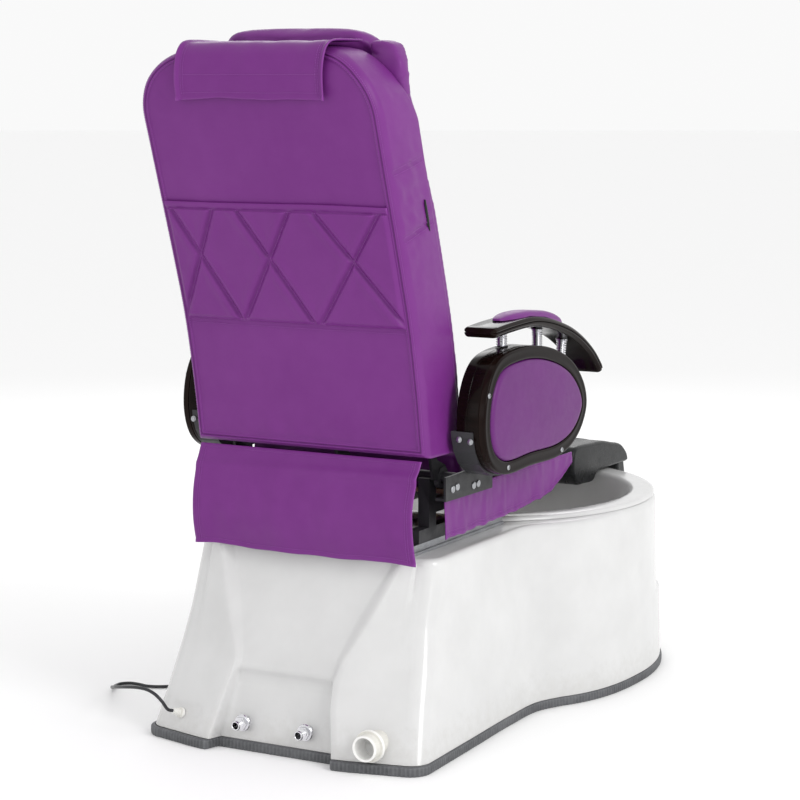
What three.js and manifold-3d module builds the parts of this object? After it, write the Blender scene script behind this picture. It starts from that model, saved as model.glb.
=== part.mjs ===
// Pedicure spa chair: a massage seat that slides and reclines on a moulded foot-spa base.
// Millimetres. +X is the sitter's left, -Y the front (foot basin), +Z up, floor at z = 0.
import * as THREE from 'three';
import { mergeVertices } from 'three/addons/utils/BufferGeometryUtils.js';
import Module from 'manifold-3d';

const wasm = await Module();
wasm.setup();

// ---------- Driving dimensions ----------
const GAP = 0.3;                 // clearance between pieces that touch

// Moulded base
const DECK_Z = 410;              // top of the seat platform
const WALL = 6;                  // laminate thickness
const TRIM_HEIGHT = 20;          // rubber strip round the foot of the base
const TRIM_THICK = 9;
const TUB_CENTRE_Y = -262;
const TUB_HALF_WIDTH = 412;
const TUB_HALF_LENGTH = 424;
const TUB_TAPER = 10;            // the tub narrows this much from floor to deck
const TOE_LEDGE = 14;            // the front of the tub is this much fuller near the floor
const TOE_LEDGE_Z = 186;
const TUB_REAR_FULLNESS = 2.6;   // superellipse exponent of the tub's rear half; the front is an oval

// Foot basin, an oval bowl: every radius is across the chair, and its length is BASIN_STRETCH longer
const BASIN_CENTRE_Y = -270;
const BASIN_STRETCH = 1.045;
const RIM_OUTER = 394;
const RIM_INNER = 338;
const RIM_TOP_Z = 420;
const BASIN_FLOOR_Z = 130;
const DRAIN_HOLE_R = 22;
const JET_Z = 318;               // whirlpool nozzles in the front wall
const JET_R = 13.5;

// Water and power fittings on the rear wall
const FITTING_Z = 57;
const INLET_LEFT_X = 88;
const INLET_RIGHT_X = -63;
const INLET_BORE_R = 7;
const INLET_NIPPLE_R = 10.5;     // G1/2 thread
const DRAIN_X = -227;
const DRAIN_PIPE_R = 25;         // DN50 waste pipe
const DRAIN_BORE_R = 22;
const GLAND_FOOT = [242.5, 652.3, 55.5];   // where the cord gland's axis meets the wall
const GLAND_ALONG = new THREE.Vector3(0.24, 0.9, 0.36).normalize();
const GLAND_LENGTH = 29;
const CORD_R = 3.5;

// Seat
const SEAT_HALF_WIDTH = 264;
const SEAT_FRONT_Y = -180;
const SEAT_REAR_Y = 374;
const SEAT_TOP_Z = 618;
const SEAT_BOTTOM_Z = 522;
const PIVOT_Y = 400;             // recline axis
const PIVOT_Z = 560;
const PIVOT_TUBE_R = 12.5;
const ACTUATOR_Z = 464;          // the recline actuator lies level under the seat

// Backrest: Y is measured on the rear face of the cover at the sides
const BACK_HALF_WIDTH = 276;
const BACK_DEPTH = 168;
const BACK_COVER_DEPTH = 104;    // the rear cover is a tray this deep, the front cushion closes it
const BACK_SKIN = 14;
const BACK_BOTTOM_Z = 619;
const BACK_TOP_Z = 1436;
const BACK_CORNER_R = 138;
const WING_INNER_X = 188;        // the front cushion's upper corners stand up beside the head pillow
const WING_HALF_WIDTH = 270;
const WING_BOTTOM_Z = 1240;
const WING_TOP_Z = 1454;
const WING_CORNER_R = 58;
const PILLOW_HALF_WIDTH = 183;
const FLAP_HALF_WIDTH = 170;
const POCKET_HALF_WIDTH = 260;
const POCKET_BOTTOM_Z = 885;
const POCKET_TOP_Z = 1130;
const BACK_TOP_DEPTH = 118;      // the back thins towards its rounded top
const BACK_REAR_LINE = [
  [531, 617], [552, 745], [584, 890], [621, 1010], [661, 1130], [698, 1240], [729, 1335], [739, 1385],
  [733, 1418], [712, 1438],
];
const BACK_LEAN = THREE.MathUtils.degToRad(15.4);
const REAR_SKIRT_LINE = [         // it bellies out between the seam and the hem
  [532, 612], [546, 586], [558, 556], [568, 508], [569, 456], [556, 404],
];
const REAR_SKIRT_THICK = 6;

// Armrest drum, in side view (Y, Z)
const DRUM_OUTLINE = [
  [370, 572], [431, 608], [455, 670], [441, 752], [394, 806], [284, 825],
  [145, 811], [32, 769], [-28, 712], [-40, 668], [-19, 626], [26, 592], [100, 572], [235, 571],
];
const DRUM_INNER_X = 300;
const DRUM_OUTER_X = 352;
const RING_OUTER_X = 366;
const RING_WIDTH = 27;
const ARM_PIVOT_Y = 335;
const ARM_PIVOT_Z = 588;
const ARM_TOP_INNER_X = 283;
const ARM_TOP_OUTER_X = 359;
const ARM_TOP_UPPER = [
  [395, 874], [310, 880], [205, 882], [135, 873], [74, 859], [12, 840], [-52, 811], [-104, 778], [-148, 738],
];
const ARM_TOP_THICK = 22;
const ARM_PAD_OUTLINE = [         // crowned pad on the arm top, underside last
  [322, 881.5], [290, 890], [230, 894], [150, 890], [84, 880], [20, 856],
  [12, 841.5], [74, 861], [135, 874.8], [205, 883], [310, 881],
];
const POST_R = 11;
const POST_X = 321;
const ARM_POSTS = [[292, 292], [124, 123], [14, -18]];   // foot and head of each post along Y

// ---------- Materials ----------
const material = (color, roughness, metalness = 0) =>
  new THREE.MeshStandardMaterial({ color, roughness, metalness });
const WHITE_GELCOAT = material(0xf0f0f0, 0.18);
const BLACK_RUBBER = material(0x2a2c2f, 0.7);
const BLACK_STEEL = material(0x0c0c0d, 0.45, 0.6);
const BLACK_PLASTIC = material(0x111112, 0.2);
const DARK_WOOD = material(0x1a0908, 0.12);
const PURPLE_VINYL = material(0x783a82, 0.45);
const CHROME = material(0xd8d8dc, 0.1, 1);
const WHITE_PLASTIC = material(0xe8e8e2, 0.35);
const GREY_STEEL = material(0x8a8c90, 0.35, 1);
const PLYWOOD = material(0xb98c5a, 0.7);

// ---------- Frames for extruded outlines ----------
const AXIS_X = new THREE.Vector3(1, 0, 0);
const AXIS_Y = new THREE.Vector3(0, 1, 0);
const AXIS_Z = new THREE.Vector3(0, 0, 1);
const SIDE_VIEW = new THREE.Matrix4().makeBasis(AXIS_Y, AXIS_Z, AXIS_X);
const FRONT_VIEW = new THREE.Matrix4().makeBasis(AXIS_X, AXIS_Z, AXIS_Y.clone().negate());

// ---------- Solids ----------
// A closed geometry with shared corners merged and zero-area faces dropped.
function cleaned(geometry) {
  const bare = geometry.clone();
  bare.deleteAttribute('normal');
  bare.deleteAttribute('uv');
  const merged = mergeVertices(bare, 1e-3);
  const source = merged.index.array;
  const kept = [];
  for (let i = 0; i < source.length; i += 3) {
    const [a, b, c] = [source[i], source[i + 1], source[i + 2]];
    if (a !== b && b !== c && c !== a) kept.push(a, b, c);
  }
  merged.setIndex(kept);
  return merged;
}

function toSolid(geometry) {
  const closed = cleaned(geometry);
  return new wasm.Manifold(new wasm.Mesh({
    numProp: 3,
    vertProperties: new Float32Array(closed.attributes.position.array),
    triVerts: new Uint32Array(closed.index.array),
  }));
}

function toGeometry(solid) {
  const mesh = solid.getMesh();
  const geometry = new THREE.BufferGeometry();
  geometry.setAttribute('position', new THREE.BufferAttribute(mesh.vertProperties, 3));
  geometry.setIndex(new THREE.BufferAttribute(mesh.triVerts, 1));
  geometry.computeVertexNormals();
  return geometry;
}

const union = (geometries) => toGeometry(geometries.map(toSolid).reduce((sum, one) => sum.add(one)));
const cut = (body, tools) =>
  toGeometry(tools.map(toSolid).reduce((rest, tool) => rest.subtract(tool), toSolid(body)));
const common = (a, b) => toGeometry(toSolid(a).intersect(toSolid(b)));

// A geometry reflected to the other side of the chair, its faces kept outward.
function mirrored(geometry) {
  const copy = cleaned(geometry);
  copy.scale(-1, 1, 1);
  const index = copy.index.array;
  for (let i = 0; i < index.length; i += 3) {
    const held = index[i];
    index[i] = index[i + 1];
    index[i + 1] = held;
  }
  return copy;
}

const onSide = (geometry, side) => (side > 0 ? geometry : mirrored(geometry));

function box(x0, x1, y0, y1, z0, z1) {
  return new THREE.BoxGeometry(x1 - x0, y1 - y0, z1 - z0)
    .translate((x0 + x1) / 2, (y0 + y1) / 2, (z0 + z1) / 2);
}

// A cylinder from one point to another.
function rod(from, to, radius, sides = 20) {
  const start = new THREE.Vector3(...from);
  const end = new THREE.Vector3(...to);
  const along = end.clone().sub(start);
  const turn = new THREE.Quaternion().setFromUnitVectors(AXIS_Y, along.clone().normalize());
  return new THREE.CylinderGeometry(radius, radius, along.length(), sides)
    .applyQuaternion(turn)
    .translate(...start.add(end).multiplyScalar(0.5).toArray());
}

// A turned piece: profile [radius, height] pairs, revolved and stood along a direction at a point.
function turned(profile, at, direction = AXIS_Z, sides = 20) {
  const points = profile.map(([r, h]) => new THREE.Vector2(r, h));
  const turn = new THREE.Quaternion().setFromUnitVectors(AXIS_Y, direction.clone().normalize());
  return new THREE.LatheGeometry(points, sides).applyQuaternion(turn).translate(...at);
}

const polygon = (points) => new THREE.Shape(points.map(([u, v]) => new THREE.Vector2(u, v)));

// A plate with its outline in side view (Y, Z), from one X to another; bevel rounds its long edges.
function sidePlate(shape, x0, x1, bevel = 0, curveSegments = 6) {
  const options = { depth: x1 - x0 - 2 * bevel, bevelEnabled: bevel > 0, curveSegments };
  Object.assign(options, { bevelThickness: bevel, bevelSize: bevel, bevelOffset: -bevel, bevelSegments: 2 });
  return new THREE.ExtrudeGeometry(shape, options).translate(0, 0, x0 + bevel).applyMatrix4(SIDE_VIEW);
}

// A plate with its outline seen from the front (X, Z), from y0 back to y1.
function frontPlate(shape, y0, y1, curveSegments = 6) {
  return new THREE.ExtrudeGeometry(shape, { depth: y1 - y0, bevelEnabled: false, curveSegments })
    .applyMatrix4(FRONT_VIEW)
    .translate(0, y1, 0);
}

// A round tube along a smooth route.
function tube(route, radius, steps, sides) {
  const curve = new THREE.CatmullRomCurve3(route.map((p) => new THREE.Vector3(...p)), false, 'centripetal');
  const turn = (2 * Math.PI) / sides;
  const corner = (i) => [radius * Math.cos(turn * i), radius * Math.sin(turn * i)];
  const section = polygon(Array.from({ length: sides }, (_, i) => corner(i)));
  return new THREE.ExtrudeGeometry(section, { extrudePath: curve, steps });
}

// A skin through rings of equal count, lowest first, each counter-clockwise from above; ends capped.
function loft(rings) {
  const count = rings[0].length;
  const positions = rings.flat().flatMap(([x, y, z]) => [x, y, z]);
  const faces = [];
  for (let level = 0; level + 1 < rings.length; level += 1) {
    for (let i = 0; i < count; i += 1) {
      const a = level * count + i;
      const b = level * count + ((i + 1) % count);
      faces.push(a, b, b + count, a, b + count, a + count);
    }
  }
  const cap = (ring, offset, up) => {
    const flat = ring.map(([x, y]) => new THREE.Vector2(x, y));
    THREE.ShapeUtils.triangulateShape(flat, []).forEach(([a, b, c]) => {
      faces.push(offset + a, offset + (up ? b : c), offset + (up ? c : b));
    });
  };
  cap(rings[0], 0, false);
  cap(rings[rings.length - 1], (rings.length - 1) * count, true);
  const geometry = new THREE.BufferGeometry();
  geometry.setAttribute('position', new THREE.Float32BufferAttribute(positions, 3));
  geometry.setIndex(faces);
  return geometry;
}

// ---------- Model tree ----------
const chair = new THREE.Group();

function add(name, geometry, look) {
  const mesh = new THREE.Mesh(geometry, look);
  mesh.name = name;
  chair.add(mesh);
  return mesh;
}

// ---------- Base outline ----------
// Value of a height-dependent size, straight lines between [z, value] pairs.
function atHeight(pairs, z) {
  const [first, last] = [pairs[0], pairs[pairs.length - 1]];
  if (z <= first[0]) return first[1];
  if (z >= last[0]) return last[1];
  const i = pairs.findIndex(([level]) => level > z);
  const [z0, v0] = pairs[i - 1];
  const [z1, v1] = pairs[i];
  return v0 + ((v1 - v0) * (z - z0)) / (z1 - z0);
}

const REAR_LOBE_Y = [[0, 696], [200, 616], [410, 546]];       // rear wall leans forward as it rises
const PANEL_DEPTH = [[0, 34], [160, 14], [205, 8], [410, 20]]; // recess of the middle rear panel
const PANEL_EDGE_X = [[0, 146], [195, 124], [410, 203]];       // half width of that panel
const REAR_CORNER_X = [[0, 331], [100, 315], [270, 294], [410, 290]];
const REAR_CORNER_R = 44;
const WAIST_X = [[0, 314], [410, 286]];                        // half width of the platform's straight side
const LOBE_SWEEP = 30;                                         // the lobes sweep forward to the corners
const JOIN_ANGLE = 37.5;                                        // where the sides run into the tub's oval

// Outline of the base at a height, counter-clockwise from above, moved inward by inset.
function baseRing(z, inset = 0, atZ = z) {
  const lobeY = atHeight(REAR_LOBE_Y, z);
  const panelY = lobeY - atHeight(PANEL_DEPTH, z);
  const edgeX = atHeight(PANEL_EDGE_X, z);
  const cornerX = atHeight(REAR_CORNER_X, z);
  const cornerY = lobeY - LOBE_SWEEP - REAR_CORNER_R;
  const taper = (TUB_TAPER * z) / DECK_Z;
  const oval = (degrees) => {
    const angle = THREE.MathUtils.degToRad(degrees);
    const toe = z < TOE_LEDGE_Z ? TOE_LEDGE * THREE.MathUtils.smoothstep(-degrees, 5, 40) : 0;
    const power = degrees > 0 ? 2 / TUB_REAR_FULLNESS : 1;
    const across = Math.cos(angle) ** power;
    const lengthways = Math.sign(degrees) * Math.abs(Math.sin(angle)) ** power;
    const x = (TUB_HALF_WIDTH - taper + toe * 0.8) * across;
    return [x, TUB_CENTRE_Y + (TUB_HALF_LENGTH - taper + toe) * lengthways];
  };
  const half = [[edgeX - 10, panelY], [edgeX + 12, lobeY]];
  for (let i = 0; i <= 4; i += 1) {
    const angle = THREE.MathUtils.degToRad(90 - 22.5 * i);
    half.push([
      cornerX - REAR_CORNER_R + REAR_CORNER_R * Math.cos(angle),
      cornerY + REAR_CORNER_R * Math.sin(angle),
    ]);
  }
  const join = oval(JOIN_ANGLE);
  const waistX = atHeight(WAIST_X, z);
  const waist = new THREE.SplineCurve([
    new THREE.Vector2(cornerX, cornerY),
    new THREE.Vector2((cornerX + waistX) / 2, 420),
    new THREE.Vector2(waistX, 220),
    new THREE.Vector2(waistX + 3, 95),
    new THREE.Vector2(...join),
  ]);
  for (let i = 1; i <= 10; i += 1) half.push(waist.getPoint(i / 10).toArray());
  const ovalSteps = 15;
  for (let i = 1; i <= ovalSteps; i += 1) half.push(oval(JOIN_ANGLE - ((JOIN_ANGLE + 90) * i) / ovalSteps));
  const left = half.map(([x, y]) => new THREE.Vector2(x, y));
  const right = half.slice(0, -1).map(([x, y]) => new THREE.Vector2(-x, y)).reverse();
  const clockwise = [...left, ...right];
  const ring = clockwise.reverse();
  return ring.map((point, i) => {
    const before = ring[(i + ring.length - 1) % ring.length];
    const after = ring[(i + 1) % ring.length];
    const along = after.clone().sub(before).normalize();
    return [point.x - along.y * inset, point.y + along.x * inset, atZ];
  });
}

// A point on the cord gland's axis, this far out from the wall.
function alongGland(out) {
  return GLAND_FOOT.map((foot, i) => foot + out * GLAND_ALONG.getComponent(i));
}

function baseShell() {
  const foot = TRIM_HEIGHT + GAP;
  const outerLevels = [
    [foot, 0], [100, 0], [160, 0], [TOE_LEDGE_Z - 8, 0], [TOE_LEDGE_Z, 0], [205, 0], [300, 0],
    [394, 0], [404, 2.5], [408.5, 7], [DECK_Z, 14],
  ];
  const outer = loft(outerLevels.map(([z, inset]) => baseRing(z, inset)));
  const innerLevels = [foot, 100, 160, 205, 300, DECK_Z - WALL];
  const inner = loft(innerLevels.map((z, i) => baseRing(z, WALL, i === 0 ? 0 : z)));
  const opening = rod([0, 0, 380], [0, 0, 450], RIM_INNER + 6, 44)
    .scale(1, BASIN_STRETCH, 1)
    .translate(0, BASIN_CENTRE_Y, 0);
  const holes = [[DRAIN_X, DRAIN_PIPE_R], [INLET_LEFT_X, INLET_NIPPLE_R], [INLET_RIGHT_X, INLET_NIPPLE_R]]
    .map(([x, r]) => rod([x, 560, FITTING_Z], [x, 760, FITTING_Z], r + GAP, 20));
  const cordHole = rod(alongGland(-60), alongGland(60), 7 + GAP, 16);
  return cut(outer, [inner, opening, ...holes, cordHole]);
}

// The rubber strip is a closed ring a little proud of the shell, with the shell standing on it.
function baseTrim() {
  const proud = -3;
  const outer = loft([0, TRIM_HEIGHT].map((z) => baseRing(0, proud, z)));
  const inner = loft([-1, TRIM_HEIGHT + 1].map((z) => baseRing(0, proud + TRIM_THICK, z)));
  return cut(outer, [inner]);
}

function basin() {
  const wall = 5;
  const inside = [
    [RIM_OUTER - 1, 414], [RIM_OUTER - 6, 418.5], [RIM_OUTER - 14, RIM_TOP_Z], [RIM_INNER + 7, RIM_TOP_Z],
    [RIM_INNER, 416], [RIM_INNER - 4, 404], [326, 320], [306, 215], [286, 168], [250, 140],
    [190, BASIN_FLOOR_Z], [DRAIN_HOLE_R + 14, BASIN_FLOOR_Z - 3], [DRAIN_HOLE_R, BASIN_FLOOR_Z - 3],
  ];
  const outside = [
    [DRAIN_HOLE_R, BASIN_FLOOR_Z - 3 - wall], [192, BASIN_FLOOR_Z - wall], [253, 135], [290, 164], [311, 213],
    [331, 319], [RIM_INNER + 1, 403], [RIM_INNER + 2, DECK_Z + GAP], [RIM_OUTER, DECK_Z + GAP],
  ];
  const profile = [...inside, ...outside, inside[0]];
  const bowl = turned(profile, [0, 0, 0], AXIS_Z, 44)
    .scale(1, BASIN_STRETCH, 1)
    .translate(0, BASIN_CENTRE_Y, 0);
  const jetHoles = [-1, 1].map((side) => rod(
    [side * 69, -560, JET_Z], [side * 76, -680, JET_Z], JET_R + 2 * GAP, 16));
  return cut(bowl, jetHoles);
}

function buildBase() {
  add('base_shell', baseShell(), WHITE_GELCOAT);
  add('base_trim', baseTrim(), BLACK_RUBBER);
  add('basin', basin(), WHITE_GELCOAT);
  const jetProfile = [[0, 0], [JET_R, 0], [JET_R, 22], [20, 22.3], [18, 27], [6, 29], [0, 27]];
  [-1, 1].forEach((side) => {
    const inward = new THREE.Vector3(-side * 0.2, 1, 0);
    const jet = turned(jetProfile, [side * 74.5, -644.5, JET_Z], inward);
    add(side > 0 ? 'jet_left' : 'jet_right', jet, CHROME);
  });
  add('drain_fitting', turned([
    [DRAIN_HOLE_R - 5, 96], [DRAIN_HOLE_R - GAP, 96], [DRAIN_HOLE_R - GAP, BASIN_FLOOR_Z - 3 + GAP],
    [DRAIN_HOLE_R + 10, BASIN_FLOOR_Z - 3 + GAP], [DRAIN_HOLE_R + 8, BASIN_FLOOR_Z],
    [DRAIN_HOLE_R - 5, BASIN_FLOOR_Z], [DRAIN_HOLE_R - 5, 96],
  ], [0, BASIN_CENTRE_Y, 0]), CHROME);
  add('drain_stopper', turned([
    [0, 106], [5, 106], [5, BASIN_FLOOR_Z + 1], [DRAIN_HOLE_R + 2, BASIN_FLOOR_Z + 1],
    [DRAIN_HOLE_R + 1, BASIN_FLOOR_Z + 4], [8, BASIN_FLOOR_Z + 7], [0, BASIN_FLOOR_Z + 7],
  ], [0, BASIN_CENTRE_Y, 0]), CHROME);
  buildFittings();
  buildSlide();
}

function buildFittings() {
  const hexR = 15;
  const flangeR = 18;
  [['inlet_left', INLET_LEFT_X], ['inlet_right', INLET_RIGHT_X]].forEach(([name, x]) => {
    const wallY = 655;
    const shank = [
      [INLET_BORE_R, -45], [INLET_NIPPLE_R, -45], [INLET_NIPPLE_R, 2.5], [flangeR, 3], [flangeR, 7],
      [hexR, 7.5], [hexR, 15], [INLET_NIPPLE_R, 15.5], [INLET_NIPPLE_R, 31], [INLET_NIPPLE_R - 1, 32],
      [INLET_BORE_R, 32], [INLET_BORE_R, -45],
    ];
    add(name, turned(shank, [x, wallY, FITTING_Z], AXIS_Y, 16), CHROME);
  });
  const pipe = [
    [DRAIN_BORE_R, -40], [DRAIN_PIPE_R, -40], [DRAIN_PIPE_R, 12], [DRAIN_PIPE_R + 8, 13],
    [DRAIN_PIPE_R + 8, 22], [DRAIN_PIPE_R + 2, 23], [DRAIN_PIPE_R + 2, 42], [DRAIN_BORE_R, 42],
    [DRAIN_BORE_R, -40],
  ];
  add('drain_pipe', turned(pipe, [DRAIN_X, 662, FITTING_Z], AXIS_Y), WHITE_PLASTIC);
  add('drain_line', tube([
    [0, BASIN_CENTRE_Y, 95.5], [0, BASIN_CENTRE_Y, 86], [-3, BASIN_CENTRE_Y + 10, 68],
    [-12, BASIN_CENTRE_Y + 40, 58], [-40, BASIN_CENTRE_Y + 110, FITTING_Z], [-110, 40, FITTING_Z],
    [-190, 300, FITTING_Z], [DRAIN_X, 520, FITTING_Z], [DRAIN_X, 621, FITTING_Z],
  ], 17, 22, 10), WHITE_PLASTIC);
  add('cord_gland', turned([
    [0, -22], [7, -22], [7, 1.8], [11, 2], [11, 7], [9.4, 8.5], [8.6, 14], [5.2, GLAND_LENGTH],
    [0, GLAND_LENGTH],
  ], GLAND_FOOT, GLAND_ALONG), WHITE_PLASTIC);
  add('pump_motor', union([
    rod([30, 330, 102], [190, 330, 102], 56, 28),
    rod([190, 330, 102], [222, 330, 102], 44, 28),
    box(90, 150, 300, 360, 140, DECK_Z - WALL - 6),
    box(60, 180, 280, 380, DECK_Z - WALL - 10, DECK_Z - WALL - GAP),
  ]), BLACK_PLASTIC);
}

// Mains lead: it leaves the gland, arcs down to the floor beside the base and runs forward to a coil.
const CORD_ROUTE = [
  alongGland(GLAND_LENGTH + 0.4), alongGland(GLAND_LENGTH + 13.4), [259.5, 702.5, 90.5],
  [272.5, 707.5, 104.5], [292, 707.5, 111.8], [319, 704, 112.3], [356.5, 694, 106.4], [397.4, 670, 95.5],
  [437.2, 630, 81],
  [483.9, 570, 61], [531, 506, 40], [569.3, 452, 21.2], [596, 415, 9], [611, 387, 4.2], [613, 363, 3.7],
  [598, 347, 3.7], [574, 345, 3.7], [549, 349, 3.7], [525, 342, 3.7], [501, 325, 3.7], [484, 300, 3.7],
  [474, 262, 3.7], [471, 210, 3.7], [470, 150, 3.7], [470, 85, 3.7], [470, 23.8, 3.7],
];
const COIL_MEAN_R = 38.5;
const COIL_BOTTOM_Z = 0.2;
const COIL_CENTRE = [CORD_ROUTE[CORD_ROUTE.length - 1][0] - COIL_MEAN_R - CORD_R, -1];

function buildCord() {
  add('power_cord', tube(CORD_ROUTE, CORD_R, 56, 8), BLACK_RUBBER);
  const [x, y] = COIL_CENTRE;
  const inner = COIL_MEAN_R - 2 * CORD_R;
  const outer = COIL_MEAN_R + 2 * CORD_R;
  const top = COIL_BOTTOM_Z + 4 * CORD_R;                     // two layers of two turns
  const section = [
    [inner, COIL_BOTTOM_Z], [outer, COIL_BOTTOM_Z], [outer, top], [inner, top], [inner, COIL_BOTTOM_Z],
  ];
  add('cord_coil', turned(section, [x, y, 0], AXIS_Z, 36), BLACK_RUBBER);
  const plugY = y - outer - GAP;
  add('power_plug', union([
    box(x - 13, x + 13, plugY - 44, plugY, 0.5, 24),
    rod([x - 6.4, plugY - 62, 12], [x - 6.4, plugY - 40, 12], 2, 10),
    rod([x + 6.4, plugY - 62, 12], [x + 6.4, plugY - 40, 12], 2, 10),
  ]), BLACK_RUBBER);
}

// ---------- Seat slide, frame and seat ----------
const RAIL_INNER_X = 200;
const RAIL_OUTER_X = 230;
const RAIL_TOP_Z = 430;
const RAIL_FRONT_Y = 92;
const RAIL_REAR_Y = 510;

function buildSlide() {
  [-1, 1].forEach((side) => {
    const rail = union([
      box(RAIL_INNER_X, RAIL_OUTER_X, RAIL_FRONT_Y, RAIL_REAR_Y, DECK_Z + GAP, DECK_Z + 6),
      box(RAIL_INNER_X + 4, RAIL_OUTER_X - 4, RAIL_FRONT_Y, RAIL_REAR_Y, DECK_Z + 5, RAIL_TOP_Z),
    ]);
    add(side > 0 ? 'rail_left' : 'rail_right', onSide(rail, side), BLACK_STEEL);
  });
}

function seatFrame() {
  const runnerBottom = RAIL_TOP_Z + GAP;
  const runnerTop = 458;
  const bars = [];
  [-1, 1].forEach((side) => {
    const inner = Math.min(side * RAIL_INNER_X, side * (RAIL_OUTER_X - 4));
    const outer = Math.max(side * RAIL_INNER_X, side * (RAIL_OUTER_X - 4));
    bars.push(box(inner, outer, 112, 474, runnerBottom, runnerTop));
    bars.push(box(inner, outer, 130, 160, runnerTop - 1, 488));
    bars.push(box(inner, outer, 400, 430, runnerTop - 1, 560));
    bars.push(box(inner, outer, -120, 430, 486, 512));
  });
  bars.push(box(-215, 215, -120, -95, 488, 510));
  bars.push(box(-215, 215, 132, 158, 488, 510));
  bars.push(rod([-283, PIVOT_Y, PIVOT_Z], [283, PIVOT_Y, PIVOT_Z], PIVOT_TUBE_R, 24));
  return union(bars);
}

// The plate beside the seat that carries an armrest: plate, four bolt heads and the armrest's pivot stud.
function armBracket() {
  const plate = sidePlate(polygon([
    [266, 522], [475, 524], [475, 574], [372, 576], [362, 604], [312, 604], [306, 566], [266, 560],
  ]), 283.5, 288.5);
  const flange = box(262, 284, 430, 470, 524, 529);
  const bolts = [[445, 546], [425, 548], [352, 540], [332, 541]]
    .map(([y, z]) => rod([288, y, z], [290.7, y, z], 6, 6));
  const stud = rod([288, ARM_PIVOT_Y, ARM_PIVOT_Z], [299, ARM_PIVOT_Y, ARM_PIVOT_Z], 6, 16);
  return union([plate, flange, ...bolts, stud]);
}

function buildSeat() {
  add('seat_frame', seatFrame(), BLACK_STEEL);
  add('seat_pan', box(-240, 240, -150, 336, 512 + GAP, SEAT_BOTTOM_Z - GAP), PLYWOOD);
  const profile = new THREE.Shape();
  profile.moveTo(SEAT_REAR_Y - 36, SEAT_BOTTOM_Z);
  profile.lineTo(SEAT_REAR_Y, SEAT_BOTTOM_Z + 38);
  profile.lineTo(SEAT_REAR_Y, SEAT_TOP_Z - 14);
  profile.quadraticCurveTo(SEAT_REAR_Y, SEAT_TOP_Z - 4, SEAT_REAR_Y - 20, SEAT_TOP_Z - 4);
  profile.lineTo(-60, SEAT_TOP_Z);
  profile.quadraticCurveTo(SEAT_FRONT_Y, SEAT_TOP_Z, SEAT_FRONT_Y, 560);
  profile.quadraticCurveTo(SEAT_FRONT_Y, 520, SEAT_FRONT_Y + 36, SEAT_BOTTOM_Z);
  add('seat_cushion', sidePlate(profile, -SEAT_HALF_WIDTH, SEAT_HALF_WIDTH), PURPLE_VINYL);
  const skirt = sidePlate(polygon([
    [440, 518], [440, 441], [300, 443], [130, 447], [30, 454], [-50, 461], [-110, 488], [-166, 521],
    [-160, 521.5],
  ]), 268, 273);
  const bracket = armBracket();
  [[1, 'left'], [-1, 'right']].forEach(([side, word]) => {
    add(`seat_skirt_${word}`, onSide(skirt, side), PURPLE_VINYL);
    add(`arm_bracket_${word}`, onSide(bracket, side), BLACK_STEEL);
  });
  const housing = union([
    rod([0, 20, ACTUATOR_Z], [0, 268, ACTUATOR_Z], 21, 20),
    box(-30, 30, -30, 34, ACTUATOR_Z - 26, ACTUATOR_Z + 24),
    box(-12, 12, -118, -20, ACTUATOR_Z - 8, ACTUATOR_Z + 14),
    box(-12, 12, -118, -98, ACTUATOR_Z, 488 - GAP),
  ]);
  const bore = rod([0, 160, ACTUATOR_Z], [0, 300, ACTUATOR_Z], 11, 16);
  add('recline_actuator', cut(housing, [bore]), BLACK_STEEL);
  add('recline_rod', union([
    rod([0, 210, ACTUATOR_Z], [0, 366, ACTUATOR_Z], 10, 16),
    rod([-12, 372, ACTUATOR_Z], [12, 372, ACTUATOR_Z], 14, 16),
  ]), GREY_STEEL);
}

// ---------- Backrest ----------
// Closed side-view outline of the backrest between two depths in front of its rear face.
function backOutline(nearDepth, farDepth, bottomZ, topZ) {
  const rearLine = BACK_REAR_LINE.map(([y, z]) => [z, y]);
  const levels = rearLine.map(([z]) => z).filter((z) => z > bottomZ + 4 && z < topZ - 4);
  const up = [bottomZ, ...levels, topZ];
  const near = up.map((z) => [atHeight(rearLine, z) - nearDepth, z]);
  const far = [...up].reverse().map((z) => {
    const thinned = THREE.MathUtils.mapLinear(z, 1300, BACK_TOP_Z, BACK_DEPTH, BACK_TOP_DEPTH);
    const depth = farDepth * (z > 1300 ? thinned / BACK_DEPTH : 1);
    return [atHeight(rearLine, z) - depth, z];
  });
  return polygon([...near, ...far]);
}

// The back seen from behind: parallel sides with large top corners.
function backFace(halfWidth, bottomZ, topZ, cornerR) {
  const shape = new THREE.Shape();
  shape.moveTo(-halfWidth, bottomZ);
  shape.lineTo(halfWidth, bottomZ);
  shape.lineTo(halfWidth, topZ - cornerR);
  shape.absarc(halfWidth - cornerR, topZ - cornerR, cornerR, 0, Math.PI / 2);
  shape.absarc(-halfWidth + cornerR, topZ - cornerR, cornerR, Math.PI / 2, Math.PI);
  return frontPlate(shape, 250, 860);
}

function backSlab(nearDepth, farDepth, halfWidth, bottomZ, topZ, cornerR) {
  const slab = sidePlate(backOutline(nearDepth, farDepth, bottomZ, topZ), -halfWidth, halfWidth);
  return common(slab, backFace(halfWidth + 1, bottomZ - 1, topZ, cornerR));
}

// Pieces laid out along the straight line of the back: origin on the line's foot, z up along it.
const BACK_FOOT = [0, 531, 617];
const alongBack = (geometry) => geometry.rotateX(-BACK_LEAN).translate(...BACK_FOOT);

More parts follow.
